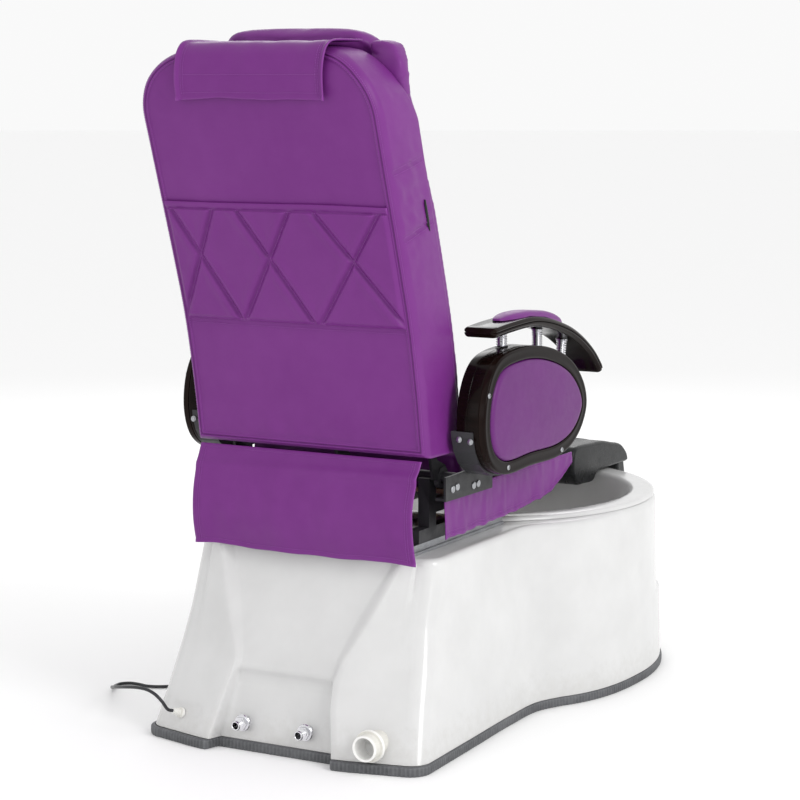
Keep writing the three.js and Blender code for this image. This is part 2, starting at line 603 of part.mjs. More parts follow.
function backFrame() {
  const bars = [
    box(-244, -220, -92, -68, 28, 742), box(220, 244, -92, -68, 28, 742),
    box(-232, 232, -89, -71, 32, 54), box(-232, 232, -89, -71, 716, 738),
  ].map(alongBack);
  const lug = polygon([[452, 700], [474, 700], [440, 560], [384, 548], [386, 584], [424, 600]]);
  [-1, 1].forEach((side) => {
    bars.push(onSide(sidePlate(lug, 235, 241), side));
    bars.push(rod([side * 232, PIVOT_Y, PIVOT_Z], [side * 242.5, PIVOT_Y, PIVOT_Z], 23, 20));
  });
  bars.push(sidePlate(polygon([
    [470, 676], [500, 676], [436, 560], [386, 456], [360, 456], [384, 548], [400, 580],
  ]), -26, -18));
  bars.push(box(-26, 26, 452, 500, 652, 672));
  const pivotHole = rod([-300, PIVOT_Y, PIVOT_Z], [300, PIVOT_Y, PIVOT_Z], PIVOT_TUBE_R + GAP, 24);
  return cut(union(bars), [pivotHole]);
}

function buildBackrest() {
  const shellTop = BACK_TOP_Z - BACK_SKIN;
  const outer = backSlab(0, BACK_COVER_DEPTH, BACK_HALF_WIDTH, BACK_BOTTOM_Z, BACK_TOP_Z, BACK_CORNER_R);
  const hollow = backSlab(BACK_SKIN, BACK_COVER_DEPTH + 60, BACK_HALF_WIDTH - BACK_SKIN,
    BACK_BOTTOM_Z - 30, shellTop, BACK_CORNER_R - BACK_SKIN);
  add('back_cover', cut(outer, [hollow]), PURPLE_VINYL);
  const cushionRear = BACK_COVER_DEPTH + GAP;
  const front = backSlab(cushionRear, BACK_DEPTH, BACK_HALF_WIDTH, BACK_BOTTOM_Z + 14, BACK_TOP_Z,
    BACK_CORNER_R);
  const upper = backSlab(cushionRear, BACK_DEPTH, WING_HALF_WIDTH, WING_BOTTOM_Z, WING_TOP_Z, WING_CORNER_R);
  const between = box(-WING_INNER_X, WING_INNER_X, 300, 800, WING_BOTTOM_Z - 10, WING_TOP_Z + 10);
  add('back_cushion', union([front, cut(upper, [between])]), PURPLE_VINYL);
  add('back_frame', backFrame(), BLACK_STEEL);
  add('pocket_panel', backSlab(-6, -GAP, POCKET_HALF_WIDTH, POCKET_BOTTOM_Z, POCKET_TOP_Z, 1), PURPLE_VINYL);
  const pillowProfile = polygon([
    [470, 1236], [498, 1240], [532, 1340], [556, 1424], [590, 1446], [610, 1450], [600, 1474], [556, 1477],
    [514, 1462], [472, 1404], [446, 1300],
  ]);
  add('head_pillow', sidePlate(pillowProfile, -PILLOW_HALF_WIDTH, PILLOW_HALF_WIDTH), PURPLE_VINYL);
  const flap = polygon([
    [737, 1340], [747, 1386], [741, 1424], [716, BACK_TOP_Z + 8], [604, BACK_TOP_Z + 8],
    [604, BACK_TOP_Z + 1], [713, BACK_TOP_Z + 1], [734.5, 1420], [740.5, 1386], [731, 1340],
  ]);
  add('pillow_flap', sidePlate(flap, -FLAP_HALF_WIDTH, FLAP_HALF_WIDTH), PURPLE_VINYL);
  const skirtOuter = REAR_SKIRT_LINE.map(([y, z]) => [y + REAR_SKIRT_THICK, z]);
  const skirt = polygon([...REAR_SKIRT_LINE, ...skirtOuter.reverse()]);
  add('rear_skirt', sidePlate(skirt, -265, 265), PURPLE_VINYL);
  buildMassage();
}

const ROLLER_AXLE_Y = -88;

function buildMassage() {
  add('massage_screw', alongBack(union([
    rod([0, -52, 66], [0, -52, 700], 7, 12),
    box(-34, 34, -62, -42, 56, 68), box(-34, 34, -62, -42, 698, 714),
    box(-250, 250, -62, -54, 690, 712),
  ])), GREY_STEEL);
  add('massage_carriage', alongBack(cut(union([
    box(-150, 150, -66, -40, 330, 400),
    box(-10, 10, -94, -60, 350, 380),
    rod([-96, ROLLER_AXLE_Y, 365], [96, ROLLER_AXLE_Y, 365], 6, 16),
  ]), [rod([0, -52, 300], [0, -52, 430], 7 + GAP, 12)])), BLACK_PLASTIC);
  [[1, 'left'], [-1, 'right']].forEach(([side, word]) => {
    const profile = [[6 + GAP, -16], [15, -16], [18, -8], [18, 8], [15, 16], [6 + GAP, 16], [6 + GAP, -16]];
    const wheel = turned(profile, [side * 70, ROLLER_AXLE_Y, 365], AXIS_X, 20);
    add(`massage_roller_${word}`, alongBack(wheel), BLACK_RUBBER);
  });
}

// ---------- Armrests ----------
// Side-view outline of the drum moved inward by inset.
function drumLoop(inset, count = 40) {
  const closed = new THREE.CatmullRomCurve3(
    DRUM_OUTLINE.map(([y, z]) => new THREE.Vector3(y, z, 0)), true, 'centripetal');
  const points = closed.getSpacedPoints(count).slice(0, -1);
  return points.map((point, i) => {
    const before = points[(i + points.length - 1) % points.length];
    const after = points[(i + 1) % points.length];
    const along = after.clone().sub(before).normalize();
    return [point.x - along.y * inset, point.y + along.x * inset];
  });
}

function armStrap() {
  const band = common(
    cut(sidePlate(polygon(drumLoop(-4.5)), 291, 340), [sidePlate(polygon(drumLoop(-GAP)), 296, 341)]),
    sidePlate(polygon([[300, 540], [480, 540], [480, 668], [420, 668], [330, 620], [300, 616]]), 290, 342));
  const hole = rod([280, ARM_PIVOT_Y, ARM_PIVOT_Z], [310, ARM_PIVOT_Y, ARM_PIVOT_Z], 6 + GAP, 16);
  return cut(band, [hole]);
}

// Underside of the arm top, rear to front.
function armTopLower() {
  const upper = ARM_TOP_UPPER;
  return upper.map(([y, z], i) => {
    const before = upper[Math.max(i - 1, 0)];
    const after = upper[Math.min(i + 1, upper.length - 1)];
    const along = new THREE.Vector2(after[0] - before[0], after[1] - before[1]).normalize();
    return [y - along.y * ARM_TOP_THICK, z + along.x * ARM_TOP_THICK];
  });
}

function armTop() {
  const outline = polygon([...ARM_TOP_UPPER, ...armTopLower().reverse()]);
  return sidePlate(outline, ARM_TOP_INNER_X, ARM_TOP_OUTER_X, 3);
}

function buildArm(side, word) {
  const put = (name, geometry, look) => add(`${name}_${word}`, onSide(geometry, side), look);
  put('arm_drum', sidePlate(polygon(drumLoop(0)), DRUM_INNER_X, DRUM_OUTER_X - GAP), DARK_WOOD);
  put('arm_ring', cut(sidePlate(polygon(drumLoop(0)), DRUM_OUTER_X, RING_OUTER_X),
    [sidePlate(polygon(drumLoop(RING_WIDTH)), DRUM_OUTER_X - 5, RING_OUTER_X + 5)]), DARK_WOOD);
  const sidePad = sidePlate(polygon(drumLoop(RING_WIDTH + 0.4)), DRUM_OUTER_X, RING_OUTER_X + 6);
  put('arm_side_pad', sidePad, PURPLE_VINYL);
  put('arm_strap', armStrap(), BLACK_STEEL);
  put('arm_top', armTop(), DARK_WOOD);
  const topPad = sidePlate(polygon(ARM_PAD_OUTLINE), ARM_TOP_INNER_X + 12, ARM_TOP_OUTER_X - 12);
  put('arm_pad', topPad, PURPLE_VINYL);
  const drumAndBelow = sidePlate(polygon(drumLoop(-GAP)), 250, 400);
  const barAndAbove = sidePlate(polygon([
    ...armTopLower().map(([y, z]) => [y, z - GAP]), [-148, 960], [395, 960],
  ]), 250, 400);
  ARM_POSTS.forEach(([footY, headY], i) => {
    const post = rod([POST_X, footY, 730], [POST_X, headY, 890], POST_R, 16);
    put(`arm_post_${i + 1}`, cut(post, [drumAndBelow, barAndAbove]), CHROME);
  });
}

// ---------- Footrest and tap ----------
const FOOTREST_PIVOT = [-712, 394];

function buildFootrest() {
  const profile = polygon([
    [-738, 379], [-702, 379], [-698, 426], [-548, 426], [-542, 406], [-446, 411], [-420, 440], [-424, 486],
    [-452, 497], [-600, 489], [-700, 468], [-735, 440], [-747, 392],
  ]);
  const pad = sidePlate(profile, -152, 152, 6);
  const notch = rod([-44, ...FOOTREST_PIVOT], [44, ...FOOTREST_PIVOT], 17, 20);
  const notchMouth = box(-44, 44, -712, -680, 370, 407);
  const pin = rod([-60, ...FOOTREST_PIVOT], [60, ...FOOTREST_PIVOT], 4, 12);
  add('footrest', union([cut(pad, [notch, notchMouth]), pin]), BLACK_PLASTIC);
  const barrel = rod([-40, ...FOOTREST_PIVOT], [40, ...FOOTREST_PIVOT], 8, 20);
  const web = box(-40, 40, -712, -690, 388, 400);
  const plate = box(-40, 40, -693, -687.5, 330, 400);
  add('footrest_bracket', cut(union([barrel, web, plate]),
    [rod([-60, ...FOOTREST_PIVOT], [60, ...FOOTREST_PIVOT], 4 + GAP, 12)]), BLACK_STEEL);
}

const TAP = [366, -230];

function buildTap() {
  const [x, y] = TAP;
  add('tap_body', union([
    rod([x, y, RIM_TOP_Z + GAP], [x, y, RIM_TOP_Z + 34], 21, 24),
    tube([[x - 10, y, 440], [x - 40, y, 452], [x - 66, y, 444], [x - 74, y, 424]], 9, 10, 12),
  ]), CHROME);
  add('tap_lever', union([
    rod([x, y, RIM_TOP_Z + 34 + GAP], [x, y, RIM_TOP_Z + 52], 18, 24),
    box(x - 5, x + 5, y, y + 52, RIM_TOP_Z + 44, RIM_TOP_Z + 51),
  ]), CHROME);
}

buildBase();
buildCord();
buildSeat();
buildBackrest();
buildArm(1, 'left');
buildArm(-1, 'right');
buildFootrest();
buildTap();

export default chair;
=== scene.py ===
import math

import bmesh
import bpy
import numpy as np
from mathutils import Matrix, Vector, noise


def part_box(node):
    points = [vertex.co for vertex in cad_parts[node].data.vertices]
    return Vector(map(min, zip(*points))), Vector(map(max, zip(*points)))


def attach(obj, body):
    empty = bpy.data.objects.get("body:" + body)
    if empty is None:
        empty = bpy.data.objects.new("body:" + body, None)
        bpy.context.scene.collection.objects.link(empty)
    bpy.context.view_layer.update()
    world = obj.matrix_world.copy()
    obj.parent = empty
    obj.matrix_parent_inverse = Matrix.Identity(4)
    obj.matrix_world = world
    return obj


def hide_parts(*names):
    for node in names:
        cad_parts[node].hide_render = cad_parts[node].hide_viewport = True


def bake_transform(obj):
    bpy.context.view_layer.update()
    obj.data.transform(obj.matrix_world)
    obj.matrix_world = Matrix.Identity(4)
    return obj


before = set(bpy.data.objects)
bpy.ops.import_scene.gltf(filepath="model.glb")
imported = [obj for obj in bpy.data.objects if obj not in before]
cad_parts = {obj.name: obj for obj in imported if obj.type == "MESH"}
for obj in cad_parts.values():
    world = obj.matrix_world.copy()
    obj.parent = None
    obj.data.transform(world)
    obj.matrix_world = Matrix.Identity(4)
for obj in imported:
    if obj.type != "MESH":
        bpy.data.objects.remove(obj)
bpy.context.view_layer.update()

MM = 0.001
UP = (0, 0, 1)
RIGHT, LEFT = -1, 1              # the sitter's sides

# ---------- Camera, floor and light ----------
CAMERA_AT = (-2.472, 4.593, 1.38)
CAMERA_ALONG = (0.4814, -0.8657, -0.1374)
CAMERA_LENS = 104.94             # on a 36 mm sensor
FLOOR_HALF = 60
FLOOR_DROP = 0.0005


def linked(name, data):
    made = bpy.data.objects.new(name, data)
    bpy.context.scene.collection.objects.link(made)
    return made


def aimed(made, at, along):
    made.location = at
    made.rotation_mode = "QUATERNION"
    made.rotation_quaternion = Vector(along).to_track_quat("-Z", "Y")
    return made


def make_camera():
    camera = aimed(linked("camera", bpy.data.cameras.new("camera")), CAMERA_AT, CAMERA_ALONG)
    camera.data.sensor_width = 36
    camera.data.lens = CAMERA_LENS
    camera.data.clip_end = 60
    bpy.context.scene.camera = camera


def area_light(name, at, target, size, power):
    light = linked(name, bpy.data.lights.new(name, "AREA"))
    light.data.shape = "RECTANGLE"
    light.data.size, light.data.size_y = size
    light.data.energy = power
    aimed(light, at, Vector(target) - Vector(at))


def make_studio():
    bpy.context.scene.view_settings.view_transform = "Standard"
    world = bpy.data.worlds.new("studio")
    bpy.context.scene.world = world
    world.use_nodes = True
    world.node_tree.nodes["Background"].inputs["Color"].default_value = (1, 1, 1, 1)
    world.node_tree.nodes["Background"].inputs["Strength"].default_value = 0.95
    area_light("key", (-4.2, 1.6, 2.7), (0, 0.1, 0.7), (1.8, 2.6), 90)
    area_light("rear", (0.4, 5.0, 1.6), (0, 0.2, 0.6), (2.6, 1.4), 10)
    area_light("front", (2.2, -3.6, 2.8), (0, 0, 0.6), (2.4, 1.8), 25)


def make_floor():
    paper = bpy.data.materials.new("floor_paper")
    paper.use_nodes = True
    surface = paper.node_tree.nodes["Principled BSDF"]
    surface.inputs["Base Color"].default_value = (0.97, 0.97, 0.97, 1)
    surface.inputs["Roughness"].default_value = 0.9
    surface.inputs["Specular IOR Level"].default_value = 0.1
    mesh = bpy.data.meshes.new("floor")
    corners = [(x, y, -FLOOR_DROP) for x, y in ((-FLOOR_HALF, -FLOOR_HALF), (FLOOR_HALF, -FLOOR_HALF),
                                                (FLOOR_HALF, FLOOR_HALF), (-FLOOR_HALF, FLOOR_HALF))]
    mesh.from_pydata(corners, [], [(0, 1, 2, 3)])
    mesh.materials.append(paper)
    linked("floor", mesh)


# ---------- Procedural materials ----------
class Shader:
    """A Principled material whose textures read the row frame, so nothing depends on UVs."""

    def __init__(self, name, roughness, **fixed):
        self.material = bpy.data.materials.new(name)
        self.material.use_nodes = True
        self.tree = self.material.node_tree
        self.surface = self.tree.nodes["Principled BSDF"]
        self.place = self.tree.nodes.new("ShaderNodeTexCoord").outputs["Object"]
        self.surface.inputs["Roughness"].default_value = roughness
        for socket, value in fixed.items():
            self.surface.inputs[socket.replace("_", " ")].default_value = value

    def node(self, kind, **settings):
        made = self.tree.nodes.new("ShaderNode" + kind)
        for key, value in settings.items():
            setattr(made, key, value)
        return made

    def link(self, source, target):
        self.tree.links.new(source, target)

    def stretched(self, scale):
        mapping = self.node("Mapping")
        mapping.inputs["Scale"].default_value = scale
        self.link(self.place, mapping.inputs["Vector"])
        return mapping.outputs["Vector"]

    def noise(self, scale, detail=3, roughness=0.5, stretch=None):
        made = self.node("TexNoise")
        made.inputs["Scale"].default_value = scale
        made.inputs["Detail"].default_value = detail
        made.inputs["Roughness"].default_value = roughness
        self.link(self.stretched(stretch) if stretch else self.place, made.inputs["Vector"])
        return made.outputs["Fac"]

    def cells(self, scale, feature="F1", output="Distance"):
        made = self.node("TexVoronoi", feature=feature)
        made.inputs["Scale"].default_value = scale
        self.link(self.place, made.inputs["Vector"])
        return made.outputs[output]

    def ranged(self, value, low, high, to_low, to_high):
        made = self.node("MapRange")
        for index, number in enumerate((low, high, to_low, to_high), 1):
            made.inputs[index].default_value = number
        self.link(value, made.inputs["Value"])
        return made.outputs["Result"]

    def sum(self, *weighted):
        total = None
        for value, weight in weighted:
            scaled = self.node("Math", operation="MULTIPLY")
            self.link(value, scaled.inputs[0])
            scaled.inputs[1].default_value = weight
            if total is None:
                total = scaled.outputs[0]
                continue
            added = self.node("Math", operation="ADD")
            self.link(total, added.inputs[0])
            self.link(scaled.outputs[0], added.inputs[1])
            total = added.outputs[0]
        return total

    def mixed(self, factor, low, high):
        made = self.node("Mix", data_type="RGBA")
        self.link(factor, made.inputs["Factor"])
        for socket, colour in ((made.inputs[6], low), (made.inputs[7], high)):
            if isinstance(colour, tuple):
                socket.default_value = (*colour, 1)
            else:
                self.link(colour, socket)
        return made.outputs[2]

    def colour(self, output):
        self.link(output, self.surface.inputs["Base Color"])

    def rough(self, value, low, high):
        self.link(self.ranged(value, 0.3, 0.7, low, high), self.surface.inputs["Roughness"])

    def bump(self, height, distance, strength=1.0):
        made = self.node("Bump")
        made.inputs["Strength"].default_value = strength
        made.inputs["Distance"].default_value = distance
        self.link(height, made.inputs["Height"])
        self.link(made.outputs["Normal"], self.surface.inputs["Normal"])

    # Lighter where the surface is convex, such as a worn edge or a stretched seam.
    def worn(self, base, edge, low=0.52, high=0.6):
        point = self.node("NewGeometry").outputs["Pointiness"]
        return self.mixed(self.ranged(point, low, high, 0, 1), base, edge)


def make_vinyl(name, dark, light):
    s = Shader(name, 0.42, Specular_IOR_Level=0.26)
    broad = s.noise(3.2, 4, 0.6)
    cloudy = s.noise(26, 3, 0.6)
    tone = s.ranged(s.sum((broad, 0.7), (cloudy, 0.3)), 0.36, 0.64, 0, 1)
    rubbed = tuple(min(1, c * 1.3 + 0.01) for c in light)
    s.colour(s.worn(s.mixed(tone, dark, light), rubbed, 0.53, 0.62))
    s.rough(s.sum((broad, 0.5), (s.noise(60, 2), 0.5)), 0.36, 0.5)
    grain = s.sum((s.cells(820, "SMOOTH_F1"), 0.8), (s.noise(1500, 2), 0.35), (s.noise(240, 3), 0.5))
    s.bump(grain, 0.35 * MM, 0.3)
    return s.material


def make_lacquer():
    s = Shader("dark_lacquer", 0.14, Specular_IOR_Level=0.08)
    streak = s.noise(30, 6, 0.65, stretch=(1, 1, 9))
    figure = s.ranged(streak, 0.35, 0.65, 0, 1)
    s.colour(s.worn(s.mixed(figure, (0.0026, 0.0012, 0.0010), (0.006, 0.0024, 0.0019)),
                    (0.013, 0.007, 0.0055)))
    s.rough(s.noise(14, 4), 0.1, 0.2)
    s.bump(s.sum((s.noise(70, 2), 1), (s.noise(420, 2), 0.12)), 0.4 * MM, 0.12)
    return s.material


def make_gelcoat():
    s = Shader("white_gelcoat", 0.16, IOR=1.45, Coat_Weight=0.3, Coat_Roughness=0.06)
    cloud = s.ranged(s.noise(5, 4, 0.6), 0.35, 0.65, 0, 1)
    base_tone = s.mixed(cloud, (0.60, 0.60, 0.597), (0.65, 0.65, 0.647))
    # Darker towards the bottom (object height 0.02 to 0.14 m) and in noise blotches, mixed towards a
    # grey-beige.
    height = s.node("SeparateXYZ")
    s.link(s.place, height.inputs[0])
    low_and_blotchy_darkening = s.sum((s.ranged(height.outputs["Z"], 0.02, 0.14, 1, 0), 0.5), (s.noise(44, 5, 0.7), 0.75))
    s.colour(s.mixed(s.ranged(low_and_blotchy_darkening, 0.62, 1.0, 0, 0.5), base_tone, (0.50, 0.49, 0.47)))
    s.rough(s.sum((s.noise(9, 4), 0.7), (s.noise(130, 3), 0.3)), 0.12, 0.26)
    s.bump(s.sum((s.noise(16, 2), 1), (s.noise(210, 2), 0.1)), 1.0 * MM, 0.12)
    return s.material


def make_plain(name, low, high, roughness, grain, depth, **fixed):
    """Moulded or coated material: two tones, grain of a size in features per metre, rubbed edges."""
    s = Shader(name, sum(roughness) / 2, **fixed)
    tone = s.ranged(s.sum((s.noise(7, 4, 0.6), 0.6), (s.noise(90, 3, 0.6), 0.4)), 0.36, 0.64, 0, 1)
    s.colour(s.worn(s.mixed(tone, low, high), tuple(min(1, c * 1.6 + 0.008) for c in high)))
    s.rough(s.noise(50, 3), *roughness)
    s.bump(s.sum((s.noise(grain, 3), 1), (s.cells(grain * 0.6), 0.5)), depth)
    return s.material


def make_metal(name, colour, roughness, scratch):
    s = Shader(name, roughness, Metallic=1.0)
    fine = s.noise(160, 4, 0.6, stretch=(1, 8, 1))
    smoky = tuple(0.8 * c for c in colour)
    s.colour(s.mixed(s.ranged(s.noise(40, 4), 0.35, 0.65, 0, 1), smoky, colour))
    s.rough(fine, roughness * 0.7, roughness * 1.6)
    s.bump(fine, 0.1 * MM, scratch)
    return s.material


def make_plywood():
    s = Shader("plywood", 0.6)
    layers = s.node("TexWave", wave_type="BANDS", bands_direction="Z")
    layers.inputs["Scale"].default_value = 180
    layers.inputs["Distortion"].default_value = 0.6
    s.link(s.place, layers.inputs["Vector"])
    veined = s.sum((layers.outputs["Fac"], 0.5), (s.noise(18, 5, 0.7, stretch=(1, 12, 1)), 0.5))
    s.colour(s.mixed(s.ranged(veined, 0.2, 0.8, 0, 1), (0.36, 0.21, 0.1), (0.62, 0.42, 0.24)))
    s.bump(s.noise(300, 3, stretch=(1, 10, 1)), 0.3 * MM, 0.5)
    return s.material


make_camera()
make_studio()
make_floor()
VINYL = make_vinyl("purple_vinyl", (0.150, 0.019, 0.186), (0.168, 0.026, 0.206))
PAD_VINYL = make_vinyl("arm_vinyl", (0.105, 0.010, 0.132), (0.120, 0.014, 0.150))
THREAD = make_plain("thread", (0.13, 0.024, 0.16), (0.18, 0.04, 0.22), (0.5, 0.7), 2500, 0.3 * MM)
LACQUER = make_lacquer()
GELCOAT = make_gelcoat()
CHROME = make_metal("chrome", (0.82, 0.82, 0.85), 0.09, 0.06)
STEEL = make_metal("steel", (0.42, 0.43, 0.45), 0.3, 0.3)
BLACK_STEEL = make_plain("black_steel", (0.008, 0.008, 0.009), (0.018, 0.018, 0.02), (0.34, 0.5), 900,
                         0.15 * MM, Specular_IOR_Level=0.3)
BLACK_PLASTIC = make_plain("black_plastic", (0.008, 0.009, 0.009), (0.014, 0.015, 0.016), (0.24, 0.34), 700,
                           0.12 * MM, Specular_IOR_Level=0.18)
RUBBER = make_plain("rubber", (0.05, 0.052, 0.056), (0.11, 0.113, 0.12), (0.5, 0.68), 1100, 0.25 * MM)
CORD_RUBBER = make_plain("cord_rubber", (0.006, 0.006, 0.008), (0.012, 0.012, 0.016), (0.3, 0.42), 1800,
                         0.06 * MM)
WHITE_PLASTIC = make_plain("white_plastic", (0.62, 0.61, 0.56), (0.76, 0.75, 0.7), (0.3, 0.42), 800,
                           0.08 * MM)
PLYWOOD = make_plywood()


# ---------- Making pieces ----------
def piece(name, verts, faces, look, body, replaces=(), slot=None, sharp=40, level=0):
    mesh = bpy.data.meshes.new(name)
    mesh.from_pydata([tuple(v) for v in verts], [], faces)
    mesh.validate()
    facing = bmesh.new()
    facing.from_mesh(mesh)
    bmesh.ops.recalc_face_normals(facing, faces=facing.faces)
    facing.to_mesh(mesh)
    facing.free()
    return dressed(linked(name, mesh), look, body, replaces, sharp, level)


def dressed(made, look, body, replaces=(), sharp=40, level=0):
    made.data.materials.clear()
    made.data.materials.append(look)
    if level:
        made.modifiers.new("fine", "SUBSURF").levels = level
        made.modifiers["fine"].render_levels = level
    made.data.shade_smooth()
    if sharp:
        made.data.set_sharp_from_angle(angle=math.radians(sharp))
    if body:
        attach(made, body)
    if replaces:
        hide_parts(*replaces)
    return made


def skin(rings, closed=True, start_cap=True, end_cap=True):
    """Faces through rings of equal count; closed rings make a tube whose ends are capped."""
    rings = [np.asarray(ring, float) for ring in rings]
    count = len(rings[0])
    verts = np.concatenate(rings)
    faces = []
    steps = count if closed else count - 1
    for level in range(len(rings) - 1):
        for i in range(steps):
            a, b = level * count + i, level * count + (i + 1) % count
            faces.append((a, b, b + count, a + count))
    if closed and start_cap:
        faces.append(tuple(range(count - 1, -1, -1)))
    if closed and end_cap:
        last = (len(rings) - 1) * count
        faces.append(tuple(range(last, last + count)))
    return verts, faces


def closed_skin(rings):
    """Faces through closed rings whose last ring joins the first, as round a hole."""
    verts, faces = skin(rings, start_cap=False, end_cap=False)
    count, last = len(rings[0]), (len(rings) - 1) * len(rings[0])
    faces += [(last + i, last + (i + 1) % count, (i + 1) % count, i) for i in range(count)]
    return verts, faces


def joined(parts):
    verts, faces, offset = [], [], 0
    for part_verts, part_faces in parts:
        verts.append(np.asarray(part_verts, float))
        faces.extend(tuple(i + offset for i in face) for face in part_faces)
        offset += len(part_verts)
    return np.concatenate(verts), faces


def frame_along(along):
    along = Vector(along).normalized()
    side = along.cross(Vector((0, 0, 1)) if abs(along.z) < 0.9 else Vector((1, 0, 0))).normalized()
    return along, side, side.cross(along)


def turned(profile, at, along=UP, sides=48, shape=None, hollow=False):
    """A lathe solid of (radius, height) pairs, or a ring where they run round a hole.

    shape scales the radius.
    """
    axis, side, up = frame_along(along)
    rings = []
    for radius, height in profile:
        ring = []
        for i in range(sides):
            angle = 2 * math.pi * i / sides
            r = radius * (shape(angle, height) if shape else 1)
            ring.append(Vector(at) + axis * height + side * (r * math.cos(angle))
                        - up * (r * math.sin(angle)))
        rings.append(ring)
    return closed_skin(rings) if hollow else skin(rings)


def smooth_step(x, low, high):
    t = np.clip((np.asarray(x, float) - low) / (high - low), 0, 1)
    return t * t * (3 - 2 * t)


def catmull(points, count, closed=False):
    """Evenly spaced points on a centripetal Catmull-Rom curve."""
    p = [np.asarray(q, float) for q in points]
    if closed:
        p = [p[-1], *p, p[0], p[1]]
    else:
        p = [2 * p[0] - p[1], *p, 2 * p[-1] - p[-2]]
    fine = []
    for i in range(1, len(p) - 2):
        knots = [0.0]
        for a, b in zip(p[i - 1:i + 2], p[i:i + 3]):
            knots.append(knots[-1] + max(np.linalg.norm(b - a), 1e-9) ** 0.5)
        t0, t1, t2, t3 = knots
        for t in np.linspace(t1, t2, 24, endpoint=False):
            a1 = (t1 - t) / (t1 - t0) * p[i - 1] + (t - t0) / (t1 - t0) * p[i]
            a2 = (t2 - t) / (t2 - t1) * p[i] + (t - t1) / (t2 - t1) * p[i + 1]
            a3 = (t3 - t) / (t3 - t2) * p[i + 1] + (t - t2) / (t3 - t2) * p[i + 2]
            b1 = (t2 - t) / (t2 - t0) * a1 + (t - t0) / (t2 - t0) * a2
            b2 = (t3 - t) / (t3 - t1) * a2 + (t - t1) / (t3 - t1) * a3
            fine.append((t2 - t) / (t2 - t1) * b1 + (t - t1) / (t2 - t1) * b2)
    fine.append(p[-2])
    return spaced(np.array(fine), count, closed)


def spaced(line, count, closed=False):
    along = np.concatenate([[0], np.cumsum(np.linalg.norm(np.diff(line, axis=0), axis=1))])
    at = np.linspace(0, along[-1], count + 1)[:-1] if closed else np.linspace(0, along[-1], count)
    return np.stack([np.interp(at, along, line[:, k]) for k in range(line.shape[1])], axis=1)


def inward(loop, inset):
    """A closed flat loop moved inward (counter-clockwise loops) by inset."""
    loop = np.asarray(loop, float)
    along = np.roll(loop, -1, axis=0) - np.roll(loop, 1, axis=0)
    along /= np.linalg.norm(along, axis=1, keepdims=True)
    return loop + np.stack([-along[:, 1], along[:, 0]], axis=1) * inset


def mirror_x(verts, faces, side):
    if side == LEFT:
        return verts, faces
    return np.asarray(verts) * (-1, 1, 1), [tuple(reversed(face)) for face in faces]


def softened(node, width=0.8 * MM, look=None):
    """A CAD node kept as it is, with rounded edges and a finished material."""
    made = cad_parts[node]
    made.data.materials.clear()
    made.data.materials.append(look)
    bevel = made.modifiers.new("edges", "BEVEL")
    bevel.width = width
    bevel.segments = 2
    bevel.limit_method = "ANGLE"
    bevel.angle_limit = math.radians(35)


# ---------- Base ----------
DECK_Z = 0.410
TRIM_Z = 0.020
TUB_Y, TUB_X_HALF, TUB_Y_HALF = -0.262, 0.412, 0.424
TUB_TAPER, TUB_REAR_FULLNESS, JOIN_ANGLE = 0.010, 2.6, 37.5
TOE_LEDGE, TOE_LEDGE_Z = 0.014, 0.186
WAIST_X = [(0, 0.314), (0.41, 0.286)]
REAR_LOBE_Y = [(0, 0.696), (0.2, 0.616), (0.41, 0.546)]
NICHE_DEPTH = [(0, 0.036), (0.15, 0.020), (0.165, 0.009), (0.205, 0.008), (0.41, 0.020)]
NICHE_LEFT_X = [(0, 0.152), (0.177, 0.121), (0.206, 0.127), (0.273, 0.151), (0.41, 0.203)]
NICHE_RIGHT_X = [(0, 0.140), (0.118, 0.110), (0.16, 0.108), (0.206, 0.118), (0.41, 0.216)]
CORNER_X = [(0, 0.331), (0.1, 0.315), (0.27, 0.294), (0.41, 0.290)]
CORNER_R, LOBE_SWEEP = 0.044, 0.030
DECK_ROUND = 0.014
WALL = 0.006
BOWL_Y, BOWL_STRETCH = -0.270, 1.045


def at_height(pairs, z):
    return float(np.interp(z, [p[0] for p in pairs], [p[1] for p in pairs]))


